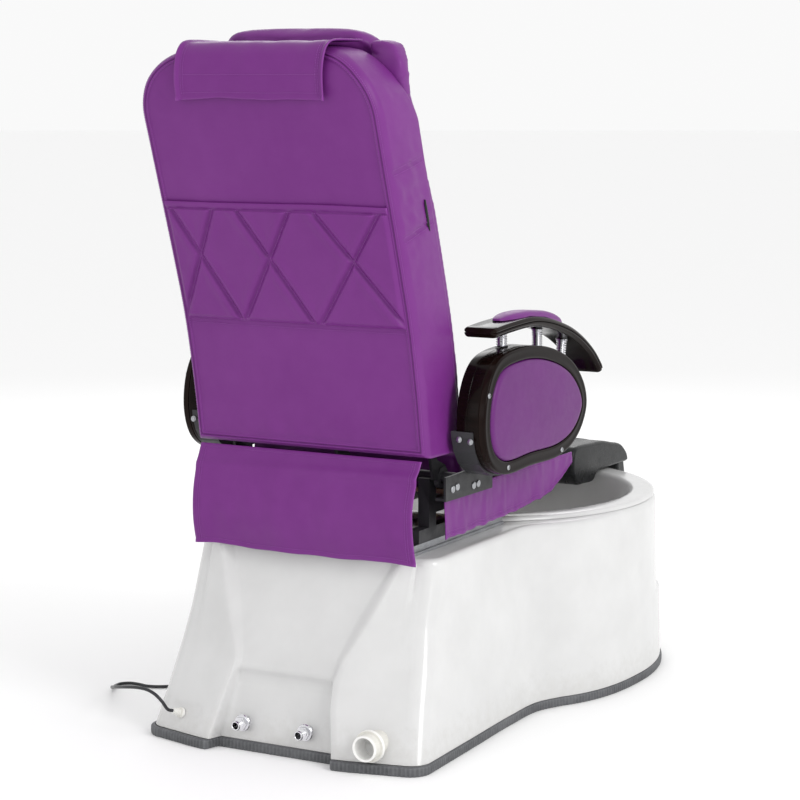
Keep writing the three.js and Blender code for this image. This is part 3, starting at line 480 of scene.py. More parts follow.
def base_ring(z, inset=0.0, at_z=None):
    """The base's outline at height z, counter-clockwise from above, moved inward by inset."""
    lobe_y, depth = at_height(REAR_LOBE_Y, z), at_height(NICHE_DEPTH, z)
    left_x, right_x = at_height(NICHE_LEFT_X, z), at_height(NICHE_RIGHT_X, z)
    corner_x, waist_x = at_height(CORNER_X, z), at_height(WAIST_X, z)
    corner_y = lobe_y - LOBE_SWEEP - CORNER_R
    soft = 0.007 + 0.012 * float(smooth_step(z, 0.15, 0.3))     # half width of the niche's edges
    flat_x = corner_x - CORNER_R
    taper = TUB_TAPER * z / DECK_Z

    def rear_y(x):
        edge = left_x if x > 0 else right_x
        swept = LOBE_SWEEP * smooth_step(abs(x), edge - 0.01, flat_x + 0.03)
        return lobe_y - swept - depth * (1 - smooth_step(abs(x), edge - soft, edge + soft))

    def tub(degrees):
        angle = math.radians(degrees)
        toe_low = 1 - float(smooth_step(z, TOE_LEDGE_Z - 0.006, TOE_LEDGE_Z + 0.004))
        toe = TOE_LEDGE * toe_low * float(smooth_step(-degrees, 5, 40))
        power = 2 / TUB_REAR_FULLNESS if degrees > 0 else 1
        across, lengthways = math.cos(angle) ** power, abs(math.sin(angle)) ** power
        return ((TUB_X_HALF - taper + toe * 0.8) * across,
                TUB_Y + math.copysign((TUB_Y_HALF - taper + toe) * lengthways, degrees))

    def side_points(edge):
        xs = np.concatenate([
            np.linspace(0, edge - soft, 8, endpoint=False),
            np.linspace(edge - soft, edge + soft, 9, endpoint=False),
            np.linspace(edge + soft, flat_x, 10, endpoint=False)])
        return xs

    def half(sign, edge):
        points = [(x, rear_y(sign * x)) for x in side_points(edge)]
        for i in range(11):
            angle = math.pi / 2 * (1 - i / 10)
            points.append((flat_x + CORNER_R * math.cos(angle), corner_y + CORNER_R * math.sin(angle)))
        waist = catmull([points[-1], ((corner_x + waist_x) / 2, 0.42), (waist_x, 0.22),
                         (waist_x + 0.003, 0.095), tub(JOIN_ANGLE)], 31)
        points.extend(tuple(p) for p in waist[1:])
        points.extend(tub(JOIN_ANGLE - (JOIN_ANGLE + 90) * i / 48) for i in range(1, 49))
        return points

    left = half(1, left_x)
    right = [(-x, y) for x, y in half(-1, right_x)][1:-1]
    outline = np.array(list(reversed(left)) + right)
    outline = inward(outline, inset) if inset else outline
    return np.column_stack([outline, np.full(len(outline), z if at_z is None else at_z)])


def bowl_ring(outline, radius, z):
    """A ring of the bowl with one point for each point of an outline, at the same bearing."""
    away = np.arctan2(outline[:, 1] - BOWL_Y, outline[:, 0])
    return np.column_stack([radius * np.cos(away), BOWL_Y + radius * BOWL_STRETCH * np.sin(away),
                            np.full(len(outline), z)])


def make_base_moulding():
    foot = TRIM_Z + 0.0003
    heights = [foot, 0.03, *np.arange(0.05, 0.146, 0.02), 0.15, 0.155, 0.16, 0.165, 0.172, 0.178, 0.183,
               0.188, 0.194, 0.205, *np.arange(0.23, 0.38, 0.03), DECK_Z - DECK_ROUND]
    outer = [base_ring(z) for z in heights]
    for degrees in range(15, 91, 15):
        angle = math.radians(degrees)
        inset = DECK_ROUND * (1 - math.cos(angle))
        outer.append(base_ring(DECK_Z - DECK_ROUND, inset, DECK_Z - DECK_ROUND * (1 - math.sin(angle))))
    deck = outer[-1]
    mouth = [bowl_ring(deck, 0.352, DECK_Z), bowl_ring(deck, 0.345, DECK_Z - 0.002),
             bowl_ring(deck, 0.345, DECK_Z - WALL)]
    inner_edge = base_ring(DECK_Z - DECK_ROUND, DECK_ROUND, DECK_Z - WALL)
    inner = [base_ring(z, WALL) for z in reversed(heights)]
    verts, faces = closed_skin([*outer, *mouth, inner_edge, *inner])
    piece("base_moulding", verts, faces, GELCOAT, "base", ["base_shell"], "gelcoat", sharp=50)


def make_trim():
    """Rubber strip: a rounded section with fine vertical ribs, and its butt joint at the rear."""
    fine = spaced(np.vstack([base_ring(0.0), base_ring(0.0)[:1]]), 1800, closed=True)[:, :2]
    ribs = 0.0005 * np.sin(np.arange(len(fine)) * math.pi / 2)
    joint = np.exp(-(((fine[:, 0] + 0.19) / 0.0012) ** 2)) * (fine[:, 1] > 0.5) * 0.0016
    section = [(0.003, 0.0002), (-0.001, 0.0), (-0.0025, 0.002), (-0.003, 0.005), (-0.003, 0.015),
               (-0.0022, 0.0178), (0.0, 0.0192), (0.003, 0.0199), (0.006, 0.0199), (0.006, 0.0002)]
    along = np.roll(fine, -4, axis=0) - np.roll(fine, 4, axis=0)
    along /= np.linalg.norm(along, axis=1, keepdims=True)
    normal = np.stack([-along[:, 1], along[:, 0]], axis=1)
    rings = []
    for inset, z in section:
        face_on = 1.0 if inset < 0 else 0.0
        moved = fine + normal * (inset + face_on * (ribs + joint))[:, None]
        rings.append(np.column_stack([moved, np.full(len(fine), z)]))
    verts, faces = closed_skin(rings)
    piece("ribbed_trim", verts, faces, RUBBER, "base", ["base_trim"], "trim_rubber", sharp=0)


def make_bowl():
    """Bowl liner: rounded rim flange, massage ridges on the floor, seat for the drain."""
    inside = [(0.3945, 0.4105), (0.3942, 0.414), (0.392, 0.4172), (0.388, 0.4192), (0.380, 0.420),
              (0.350, 0.420), (0.344, 0.4190), (0.3395, 0.416), (0.337, 0.411), (0.334, 0.400),
              (0.330, 0.360), (0.326, 0.320), (0.317, 0.267), (0.306, 0.215), (0.299, 0.190), (0.286, 0.168),
              (0.270, 0.153), (0.250, 0.142), (0.225, 0.134), (0.190, 0.130), (0.150, 0.1298),
              (0.100, 0.129), (0.060, 0.128), (0.036, 0.127), (0.0225, 0.127)]
    outside = [(0.0225, 0.122), (0.192, 0.125), (0.253, 0.135), (0.290, 0.164), (0.311, 0.213),
               (0.331, 0.319), (0.339, 0.400), (0.342, 0.4095), (0.350, 0.4103), (0.390, 0.4103)]
    angles = np.linspace(0, 2 * math.pi, 144, endpoint=False)
    rings = []
    for radius, z in inside + outside:
        ridge = 0.0025 * np.cos(angles * 12) ** 8 * float(smooth_step(0.19 - abs(radius - 0.13), 0.1, 0.17))
        lift = ridge if z > 0.1265 and radius < 0.23 and (radius, z) in inside else 0
        rings.append(np.column_stack([radius * np.cos(angles),
                                      BOWL_Y + BOWL_STRETCH * radius * np.sin(angles),
                                      z + lift * np.ones(len(angles))]))
    verts, faces = closed_skin(rings)
    piece("bowl", verts, faces, GELCOAT, "base", ["basin"], "gelcoat", sharp=55)


# ---------- Water and drain fittings ----------
FITTING_Z = 0.057


def make_inlet(name, node, x):
    """Conical wall flange, hexagon with chamfered corners, and a threaded nipple with an open bore."""
    at = (x, 0.655, FITTING_Z)
    profile = [(0.0075, -0.045), (0.0105, -0.045), (0.0105, 0.0015), (0.0175, 0.003), (0.018, 0.0045),
               (0.0168, 0.0065), (0.0128, 0.0072)]
    thread_start, thread_end, pitch = 0.0165, 0.0305, 0.0014
    hexagon = [(0.0132, 0.0076), (0.0155, 0.0082), (0.0155, 0.0146), (0.0132, 0.0153), (0.0104, 0.0155)]
    threads = []
    steps = int((thread_end - thread_start) / pitch)
    for i in range(steps):
        start = thread_start + pitch * i
        threads += [(0.0096, start), (0.0105, start + 0.45 * pitch), (0.0105, start + 0.6 * pitch)]
    tip = [(0.0096, 0.031), (0.0092, 0.032), (0.0074, 0.032), (0.0070, 0.0314), (0.0070, -0.0449)]

    def flats(angle, height):
        if not 0.0075 < height < 0.0154:
            return 1
        near = (angle % (math.pi / 3)) - math.pi / 6
        return min(1.0, 0.93 * math.cos(math.pi / 6) / math.cos(near) * 1.02)

    profile = profile + hexagon + threads + tip
    verts, faces = turned(profile, at, (0, 1, 0), 72, flats, hollow=True)
    piece(name, verts, faces, CHROME, "base", [node], "chrome", sharp=28)


def make_fittings():
    make_inlet("water_inlet_left", "inlet_left", 0.088)
    make_inlet("water_inlet_right", "inlet_right", -0.063)
    drain_at = (-0.227, 0.662, FITTING_Z)
    verts, faces = turned(
        [(0.0222, -0.06), (0.0250, -0.06), (0.0250, 0.012), (0.0262, 0.0128), (0.0320, 0.0132),
         (0.033, 0.0145), (0.033, 0.0205), (0.0322, 0.0218), (0.0275, 0.0222), (0.0270, 0.0235),
         (0.0270, 0.0402), (0.0262, 0.042), (0.0232, 0.042), (0.0220, 0.0408)], drain_at, (0, 1, 0), 64,
        hollow=True)
    piece("waste_pipe", verts, faces, WHITE_PLASTIC, "base", ["drain_pipe"], "white_plastic", sharp=35)
    for name, side in (("jet_left", LEFT), ("jet_right", RIGHT)):
        make_jet(name, side)
    for node, look in (("drain_fitting", CHROME), ("drain_stopper", CHROME), ("drain_line", WHITE_PLASTIC),
                       ("pump_motor", BLACK_STEEL), ("tap_body", CHROME), ("tap_lever", CHROME)):
        softened(node, 0.8 * MM, look)


def make_jet(name, side):
    profile = [(0.0001, 0.0), (0.0130, 0.0), (0.0130, 0.0222), (0.0190, 0.0224), (0.0198, 0.0235),
               (0.0190, 0.0262), (0.0150, 0.0278), (0.0128, 0.0272), (0.0122, 0.0240), (0.0070, 0.0235),
               (0.0065, 0.0280), (0.0045, 0.0285), (0.0038, 0.0262), (0.0001, 0.0258)]
    verts, faces = turned(profile, (side * 0.0745, -0.6445, 0.318), (-side * 0.2, 1, 0), 48)
    piece("nozzle_" + name, verts, faces, CHROME, "base", [name], "chrome", sharp=30)


# ---------- Mains lead ----------
CORD_R = 0.0035
GLAND_FOOT, GLAND_ALONG = Vector((0.2425, 0.6523, 0.0555)), Vector((0.24, 0.9, 0.36)).normalized()
COIL_AT = (0.428, -0.001)
COIL_FLOOR_Z, COIL_TOP_Z = 0.0037, 0.0098
COIL_OUTER_R, COIL_INNER_R, COIL_UPPER_R = 0.042, 0.035, 0.0385
TURN_STEPS, UPPER_STEPS = 16, 11
PLUG_HEADING = 45                # degrees
PLUG_TURNS = ((-188.13, 8), (53.13, 3))     # degrees and steps of the end's two bends
PLUG_BEND_R = 0.030              # of the route's arcs; the tube between its points bends tighter
PLUG_CLIMB = 0.0072              # how far the end rises above the coil's top turn
PLUG_REACH = 0.0455              # from the coil's centre to the plug's face, less a small gap
CORD_ROUTE = [
    (0.2496, 0.6788, 0.0661), (0.2527, 0.6905, 0.0708), (0.2595, 0.7025, 0.0905), (0.2725, 0.7075, 0.1045),
    (0.2920, 0.7075, 0.1118), (0.3190, 0.7040, 0.1123), (0.3565, 0.6940, 0.1064), (0.3974, 0.6700, 0.0955),
    (0.4372, 0.6300, 0.0810), (0.4839, 0.5700, 0.0610), (0.5310, 0.5060, 0.0400), (0.5693, 0.4520, 0.0212),
    (0.5960, 0.4150, 0.0090), (0.6110, 0.3870, 0.0042), (0.6130, 0.3630, 0.0037), (0.5980, 0.3470, 0.0037),
    (0.5740, 0.3450, 0.0037), (0.5490, 0.3490, 0.0037), (0.5250, 0.3420, 0.0037), (0.5010, 0.3250, 0.0037),
    (0.4840, 0.3000, 0.0037), (0.4740, 0.2620, 0.0037), (0.4710, 0.2100, 0.0037), (0.4700, 0.1500, 0.0037),
    (0.4700, 0.0850, 0.0037), (0.4700, 0.0238, 0.0037)]


def coil_points():
    """Two turns on the floor, one on top, then the end that rises into the plug.

    Where turns change places they are less than a diameter apart, so the lead cuts into itself there.
    """
    cx, cy = COIL_AT
    points = []
    for turn, radius in ((0, COIL_OUTER_R), (1, COIL_INNER_R)):
        for step in range(TURN_STEPS):
            angle = -2 * math.pi * step / TURN_STEPS
            shrink = 2 * CORD_R * float(smooth_step(step, 10, 16)) if turn == 0 else 0
            lift = (COIL_TOP_Z - COIL_FLOOR_Z) * float(smooth_step(step, 11, 16)) if turn == 1 else 0
            r = radius - shrink + (CORD_R * float(smooth_step(step, 11, 16)) if turn == 1 else 0)
            points.append((cx + r * math.cos(angle), cy + r * math.sin(angle), COIL_FLOOR_Z + lift))
    for step in range(UPPER_STEPS):
        angle = -2 * math.pi * step / TURN_STEPS
        points.append((cx + COIL_UPPER_R * math.cos(angle), cy + COIL_UPPER_R * math.sin(angle), COIL_TOP_Z))
    return points + plug_end(points[-1])


def plug_end(start):
    """The lead's end: it turns inside the coil, climbs over it and runs straight into the plug."""
    x, y, z = start
    heading, travelled = math.radians(PLUG_HEADING), 0.0
    points = []
    for turn, steps in PLUG_TURNS:
        step = math.radians(turn) / steps
        for _ in range(steps):
            chord = 2 * PLUG_BEND_R * math.sin(abs(step) / 2)
            x += chord * math.cos(heading + step / 2)
            y += chord * math.sin(heading + step / 2)
            heading += step
            travelled += PLUG_BEND_R * abs(step)
            points.append((x, y, z + PLUG_CLIMB * float(smooth_step(travelled, 0.02, 0.115))))
    points.append((x, COIL_AT[1] - PLUG_REACH, z + PLUG_CLIMB))
    return points


def swept(points, radius, sides=14, per_point=5, shape=None):
    """A round tube along points; shape(distance) gives the radius."""
    line = catmull(points, len(points) * per_point)
    distance = np.concatenate([[0], np.cumsum(np.linalg.norm(np.diff(line, axis=0), axis=1))])
    tangents = np.gradient(line, axis=0)
    tangents /= np.linalg.norm(tangents, axis=1, keepdims=True)
    side = Vector(tangents[0]).orthogonal().normalized()
    rings = []
    for at, tangent, travelled in zip(line, tangents, distance):
        tangent = Vector(tangent)
        side = (side - tangent * side.dot(tangent)).normalized()
        up = tangent.cross(side)
        r = shape(travelled, distance[-1]) if shape else radius
        rings.append([Vector(at) + side * (r * math.cos(2 * math.pi * i / sides))
                      + up * (r * math.sin(2 * math.pi * i / sides)) for i in range(sides)])
    return skin(rings)


def make_gland():
    """Round moulded grommet with a ribbed, tapering strain relief."""
    profile = [(0.0038, -0.022), (0.007, -0.022), (0.007, 0.0015), (0.0108, 0.0018), (0.0113, 0.003),
               (0.0113, 0.006), (0.0105, 0.0078), (0.0092, 0.0085)]
    for i in range(6):
        start, r = 0.0095 + 0.0031 * i, 0.0088 - 0.00055 * i
        profile += [(r, start), (r, start + 0.0016), (r - 0.0012, start + 0.0021),
                    (r - 0.0012, start + 0.0029)]
    profile += [(0.0054, 0.0288), (0.0048, 0.029), (0.0038, 0.029)]
    verts, faces = turned(profile, GLAND_FOOT, GLAND_ALONG, 40, hollow=True)
    piece("lead_gland", verts, faces, WHITE_PLASTIC, "base", ["cord_gland"], "white_plastic", sharp=35)


def make_lead():
    route = CORD_ROUTE + coil_points()[1:]
    verts, faces = swept(route, CORD_R, sides=16, per_point=4)
    lead = piece("mains_lead", verts, faces, CORD_RUBBER, "base", ["power_cord", "cord_coil"], "cord_rubber",
                 sharp=60)
    softened("power_plug", 0.8 * MM, BLACK_PLASTIC)


def make_base():
    make_base_moulding()
    make_trim()
    make_bowl()
    make_fittings()
    make_gland()


# ---------- Armrests ----------
DRUM_OUTLINE = [(0.370, 0.572), (0.431, 0.608), (0.455, 0.670), (0.441, 0.752), (0.394, 0.806),
                (0.284, 0.825), (0.145, 0.811), (0.032, 0.769), (-0.028, 0.712), (-0.040, 0.668),
                (-0.019, 0.626), (0.026, 0.592), (0.100, 0.572), (0.235, 0.571)]
RING_WIDTH = 0.027
RING_X = (0.3523, 0.366)
ARM_TOP_UPPER = [(0.395, 0.874), (0.310, 0.880), (0.205, 0.882), (0.135, 0.873), (0.074, 0.859),
                 (0.012, 0.840), (-0.052, 0.811), (-0.104, 0.778), (-0.148, 0.738)]
ARM_TOP_X, ARM_TOP_HALF, ARM_TOP_THICK = 0.321, 0.038, 0.022
ARM_PAD_TOP = [(0.322, 0.8825), (0.310, 0.8868), (0.290, 0.891), (0.268, 0.8938), (0.230, 0.8946),
               (0.190, 0.8932), (0.150, 0.8896), (0.115, 0.8858), (0.080, 0.8788), (0.050, 0.8700),
               (0.026, 0.8600), (0.012, 0.8425)]
ARM_PAD_BASE = [(0.322, 0.8812), (0.205, 0.8832), (0.135, 0.8748), (0.074, 0.8608), (0.012, 0.8412)]
ARM_PAD_HALF = 0.026
ARM_POSTS = [(0.292, 0.292), (0.124, 0.123), (0.014, -0.018)]      # foot and head of each post along Y
RING_BOLTS = [(0.436, 0.742), (0.347, 0.583), (0.089, 0.584)]
STRAP_BOLTS = [(0.310, 0.4592, 0.652), (0.336, 0.4598, 0.649)]
BRACKET_BOLTS = [(0.445, 0.546), (0.425, 0.548), (0.352, 0.540), (0.332, 0.541)]


def drum_loop(inset, count=180):
    return inward(catmull(DRUM_OUTLINE, count, closed=True), inset)


def side_ring(loop, x):
    return np.column_stack([np.full(len(loop), x), loop[:, 0], loop[:, 1]])


def make_drum(side, word, body):
    edge = [(0.3003, 0.0045), (0.3008, 0.0022), (0.3022, 0.0008), (0.3045, 0.0), (0.3243, 0.0),
            (0.3252, 0.0008), (0.3261, 0.0), (0.3480, 0.0), (0.3508, 0.0005), (0.3518, 0.0015)]
    verts, faces = skin([side_ring(drum_loop(inset), x) for x, inset in edge])
    piece("drum_" + word, *mirror_x(verts, faces, side), LACQUER, body, ["arm_drum_" + word], "dark_wood",
          sharp=35)
    low, high = RING_X
    section = [(0.0, low), (0.0, high - 0.0035), (0.0008, high - 0.0012), (0.0024, high),
               (0.0052, high + 0.0004), (0.0090, high - 0.0002), (0.0180, high - 0.0002),
               (0.0218, high + 0.0004), (0.0248, high), (0.0264, high - 0.0012), (RING_WIDTH, high - 0.0035),
               (RING_WIDTH, low)]
    verts, faces = closed_skin([side_ring(drum_loop(inset), x) for inset, x in section])
    piece("ring_" + word, *mirror_x(verts, faces, side), LACQUER, body, ["arm_ring_" + word], "dark_wood",
          sharp=35)
    heads = [turned([(0.0001, -0.001), (0.0056, -0.001), (0.0056, 0.0008), (0.0046, 0.0020), (0.0025, 0.0024),
                     (0.0022, 0.0012), (0.0001, 0.0012)], (high, y, z), (1, 0, 0), 20) for y, z in RING_BOLTS]
    piece("ring_bolts_" + word, *mirror_x(*joined(heads), side), STEEL, body, slot="bright_steel")


def make_side_pad(side, word, body):
    """Crowned pad inside the ring: its rim is tucked under and it swells a little unevenly."""
    rim = [(0.0278, 0.3524), (0.0276, 0.3600), (0.0286, 0.3640), (0.0306, 0.3668), (0.0340, 0.3689)]
    rings = [side_ring(drum_loop(inset), x) for inset, x in rim]
    edge = drum_loop(rim[-1][0])
    middle = np.array([0.205, 0.695])
    for size in (0.96, 0.91, 0.85, 0.78, 0.70, 0.60, 0.50, 0.40, 0.30, 0.20, 0.10, 0.03):
        loop = middle + (edge - middle) * size
        crown = 0.0046 * (1 - size ** 2.4)
        slack = [0.0010 * noise.noise(Vector((y * 16, z * 22, side * 3.0))) * (1 - size) ** 0.3
                 for y, z in loop]
        rings.append(side_ring(loop, 0.3689 + crown) + np.column_stack([slack, np.zeros((len(loop), 2))]))
    pad = piece("side_pad_" + word, *mirror_x(*skin(rings), side), PAD_VINYL, body, ["arm_side_pad_" + word],
                "vinyl", sharp=60)


def make_strap(side, word, body):
    softened("arm_strap_" + word, 1.2 * MM, BLACK_STEEL)
    domes = [turned([(0.0001, -0.001), (0.0062, -0.001), (0.0062, 0.0006), (0.0050, 0.0010), (0.0048, 0.0024),
                     (0.0030, 0.0036), (0.0001, 0.0040)], at, (0, 1, 0.12), 24) for at in STRAP_BOLTS]
    piece("strap_bolts_" + word, *mirror_x(*joined(domes), side), STEEL, body, slot="bright_steel")


def make_board(side, word, body):
    """The bent arm top: a board with a double bullnose edge that is rounded off at both ends."""
    line = catmull(ARM_TOP_UPPER, 90)
    travelled = np.concatenate([[0], np.cumsum(np.linalg.norm(np.diff(line, axis=0), axis=1))])
    along = np.gradient(line, axis=0)
    along /= np.linalg.norm(along, axis=1, keepdims=True)
    down = np.stack([-along[:, 1], along[:, 0]], axis=1)
    half, thick = ARM_TOP_HALF, ARM_TOP_THICK
    upper = [(half - 0.0085, 0.0), (half - 0.0045, 0.0009), (half - 0.0012, 0.0040), (half, 0.0072),
             (half - 0.0008, 0.0094), (half - 0.0026, 0.0104), (half - 0.0008, 0.0114)]
    section = upper + [(half, 0.0140), (half - 0.0016, 0.0180), (half - 0.0050, thick - 0.0009),
                       (half - 0.0090, thick)]
    section = section + [(-x, d) for x, d in reversed(section)]
    rings = []
    end_round = 0.011
    for at, away, distance in zip(line, down, travelled):
        near_end = min(distance, travelled[-1] - distance)
        lack = max(0.0, end_round - near_end) / end_round
        shrink = 0.0095 * (1 - math.sqrt(1 - min(lack, 1) ** 2))
        ring = []
        for x, d in section:
            wide = x * (1 - shrink / half)
            deep = thick / 2 + (d - thick / 2) * (1 - shrink / (thick / 2))
            point = at + away * deep
            ring.append((ARM_TOP_X + wide, point[0], point[1]))
        rings.append(ring)
    piece("board_" + word, *mirror_x(*skin(rings), side), LACQUER, body, ["arm_top_" + word], "dark_wood",
          sharp=30)


def make_arm_pad(side, word, body):
    """Lens-shaped pad with a flat base, crowned top and a tucked rim."""
    top, base = catmull(ARM_PAD_TOP, 60), np.array(ARM_PAD_BASE)[::-1]
    rings = []
    for y, z in top[1:-1]:
        floor = float(np.interp(y, base[:, 0], base[:, 1]))
        reach = abs((y - 0.167) / 0.1555)
        half = ARM_PAD_HALF * (1 - min(reach, 0.9995) ** 3.4) ** 0.5
        ring = []
        for i in range(28):
            angle = 2 * math.pi * i / 28
            x = half * math.copysign(abs(math.cos(angle)) ** 0.62, math.cos(angle))
            lift = max(0.0, math.sin(angle)) ** 0.75
            tuck = 0.0016 * (math.sin(angle) > 0) * math.exp(-((math.sin(angle) - 0.12) / 0.14) ** 2)
            ring.append((ARM_TOP_X + x * (1 - tuck / ARM_PAD_HALF), y, floor + (z - floor) * lift))
        rings.append(ring)
    pad = piece("arm_cushion_" + word, *mirror_x(*skin(rings), side), VINYL, body, ["arm_pad_" + word],
                "vinyl", sharp=70)


def make_post(side, word, index, body):
    """Ribbed chrome sleeve between the drum and the board."""
    foot_y, head_y = ARM_POSTS[index]
    node = f"arm_post_{index + 1}_{word}"
    low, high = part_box(node)
    foot, head = Vector((ARM_TOP_X, foot_y, 0.730)), Vector((ARM_TOP_X, head_y, 0.890))
    axis = (head - foot).normalized()
    start = foot + axis * ((low.z + 0.0015 - foot.z) / axis.z)
    length = (high.z - low.z - 0.003) / axis.z
    ribs = max(4, round(length / 0.0058))
    profile = [(0.0001, 0.0), (0.0138, 0.0), (0.0142, 0.0012), (0.0128, 0.0028)]
    for i in range(ribs):
        at = 0.0028 + (length - 0.0056) * i / ribs
        step = (length - 0.0056) / ribs
        profile += [(0.0098, at + 0.05 * step), (0.0116, at + 0.30 * step), (0.0119, at + 0.5 * step),
                    (0.0116, at + 0.70 * step), (0.0098, at + 0.95 * step)]
    profile += [(0.0128, length - 0.0028), (0.0142, length - 0.0012), (0.0138, length), (0.0001, length)]
    verts, faces = turned(profile, start, axis, 40)
    piece(f"post_{index + 1}_{word}", *mirror_x(verts, faces, side), CHROME, body, [node], "chrome", sharp=50)


def make_bracket(side, word):
    softened("arm_bracket_" + word, 0.8 * MM, BLACK_STEEL)
    heads = [turned([(0.0001, 0.0), (0.0074, 0.0), (0.0078, 0.0006), (0.0075, 0.0016), (0.0068, 0.0023),
                     (0.0001, 0.0024)], (0.2885, y, z), (1, 0, 0), 24) for y, z in BRACKET_BOLTS]
    piece("bracket_bolts_" + word, *mirror_x(*joined(heads), side), STEEL, "seat", slot="bright_steel")


def make_arms():
    for side, word in ((LEFT, "left"), (RIGHT, "right")):
        body = "arm_" + word
        make_drum(side, word, body)
        make_side_pad(side, word, body)
        make_strap(side, word, body)
        make_board(side, word, body)
        make_arm_pad(side, word, body)
        for index in range(3):
            make_post(side, word, index, body)
        make_bracket(side, word)


# ---------- Footrest and the parts that keep their CAD shape ----------
FOOTREST_COVER = [(-0.7440, 0.4260), (-0.7410, 0.4420), (-0.7250, 0.4580), (-0.7020, 0.4722),
                  (-0.6500, 0.4835), (-0.6000, 0.4932), (-0.5300, 0.4975), (-0.4520, 0.5005),
                  (-0.4300, 0.4975), (-0.4190, 0.4860), (-0.4155, 0.4620), (-0.4165, 0.4380),
                  (-0.4280, 0.4200), (-0.4460, 0.4070), (-0.4900, 0.4035), (-0.5400, 0.4035),
                  (-0.5520, 0.4160), (-0.5700, 0.4232), (-0.6300, 0.4235), (-0.7000, 0.4235)]
FOOTREST_HALF = 0.1610
FOOTREST_ROUND = 0.010           # radius of the cover's two ends


def make_footrest():
    """Moulded cover with rounded ends over the pad's core, and its row of grips."""
    softened("footrest", 1.5 * MM, BLACK_PLASTIC)
    loop = catmull(FOOTREST_COVER, 96, closed=True)[::-1]
    ends = FOOTREST_HALF - FOOTREST_ROUND * (1 - np.cos(np.linspace(0, math.pi / 2, 9)))
    across = np.concatenate([-ends, np.linspace(-0.13, 0.13, 11), ends[::-1]])
    rings = []
    for x in across:
        lack = max(0.0, abs(x) - (FOOTREST_HALF - FOOTREST_ROUND)) / FOOTREST_ROUND
        inset = FOOTREST_ROUND * (1 - math.sqrt(max(0.0, 1 - lack ** 2)))
        rings.append(side_ring(inward(loop, inset * 0.8), x))
    piece("footrest_cover", *skin(rings), BLACK_PLASTIC, "footrest", slot="black_plastic", sharp=60)
    grips = []
    for i in range(7):
        y = -0.675 + 0.035 * i
        z = float(np.interp(y, [-0.702, -0.6, -0.452], [0.4715, 0.4925, 0.5003]))
        section = [(0.0045 * math.cos(math.radians(a)), 0.0026 * math.sin(math.radians(a)))
                   for a in range(0, 360, 30)]
        rings = []
        for x in np.linspace(-0.118, 0.118, 24):
            size = (1 - (abs(x) / 0.1185) ** 8) ** 0.5
            rings.append([(x, y + dy * size, z + dz * size) for dy, dz in section])
        grips.append(skin(rings))
    piece("footrest_grips", *joined(grips), BLACK_PLASTIC, "footrest", slot="black_plastic", sharp=60)
    softened("footrest_bracket", 0.8 * MM, BLACK_STEEL)


def make_mechanism():
    looks = {
        "rail_left": STEEL, "rail_right": STEEL, "seat_frame": BLACK_STEEL, "recline_actuator": BLACK_STEEL,
        "recline_rod": STEEL, "back_frame": BLACK_STEEL, "massage_screw": STEEL,
        "massage_carriage": BLACK_PLASTIC, "massage_roller_left": RUBBER, "massage_roller_right": RUBBER,
        "seat_pan": PLYWOOD, }
    for node, look in looks.items():
        softened(node, 0.9 * MM, look)


# ---------- Upholstery helpers ----------
STITCH_PITCH, STITCH_LENGTH, STITCH_R = 0.0052, 0.0038, 0.00042


def gauss(distance, width):
    return np.exp(-(np.asarray(distance, float) / width) ** 2)


def waver(x, y, scale, seed=0.0):
    """Smooth noise from -1 to 1 that is fixed by place."""
    return noise.noise(Vector((x * scale, y * scale, seed)))


def stitches(lines):
    """Thread stitches along (points, outward) lines; each is a small capsule that lies on the surface."""
    parts = []
    for points, outward in lines:
        points = np.asarray(points, float)
        length = float(np.linalg.norm(np.diff(points, axis=0), axis=1).sum())
        count = max(2, int(length / STITCH_PITCH))
        line = spaced(points, count * 2 + 1)
        for i in range(count):
            start, end = Vector(line[2 * i]), Vector(line[2 * i + 1])
            along = (end - start).normalized()
            middle = (start + end) / 2
            up = (Vector(outward) - along * along.dot(Vector(outward))).normalized()
            side = along.cross(up)
            rings = []
            for t in (-1, -0.7, 0, 0.7, 1):
                r = STITCH_R * (1 - 0.75 * abs(t) ** 3)
                centre = middle + along * (t * STITCH_LENGTH / 2) + up * (0.0002 * (1 - t * t))
                rings.append([centre + side * (r * math.cos(a)) + up * (r * math.sin(a))
                              for a in (0.0, 1.047, 2.094, 3.142, 4.189, 5.236)])
            parts.append(skin(rings))
    return joined(parts)


def panel_faces(rows, cols):
    faces = []
    for j in range(rows - 1):
        for i in range(cols - 1):
            a = j * cols + i
            faces.append((a, a + 1, a + cols + 1, a + cols))
    return faces


def panel_loop(rows, cols):
    """Vertex order round the edge of a grid."""
    return ([i for i in range(cols)] + [j * cols + cols - 1 for j in range(1, rows)]
            + [(rows - 1) * cols + i for i in range(cols - 2, -1, -1)]
            + [j * cols for j in range(rows - 2, 0, -1)])


def welded(made):
    mesh = bmesh.new()
    mesh.from_mesh(made.data)
    bmesh.ops.remove_doubles(mesh, verts=mesh.verts, dist=1e-6)
    bmesh.ops.recalc_face_normals(mesh, faces=mesh.faces)
    mesh.to_mesh(made.data)
    mesh.free()
    return made


def slab_between(front, rear, rows, cols):
    """A closed sheet or pad from two grids of points that share an outline order."""
    front, rear = np.asarray(front, float), np.asarray(rear, float)
    faces = panel_faces(rows, cols)
    count = rows * cols
    faces = faces + [tuple(i + count for i in reversed(face)) for face in faces]
    loop = panel_loop(rows, cols)
    for a, b in zip(loop, loop[1:] + loop[:1]):
        faces.append((b, a, a + count, b + count))
    return np.concatenate([front, rear]), faces


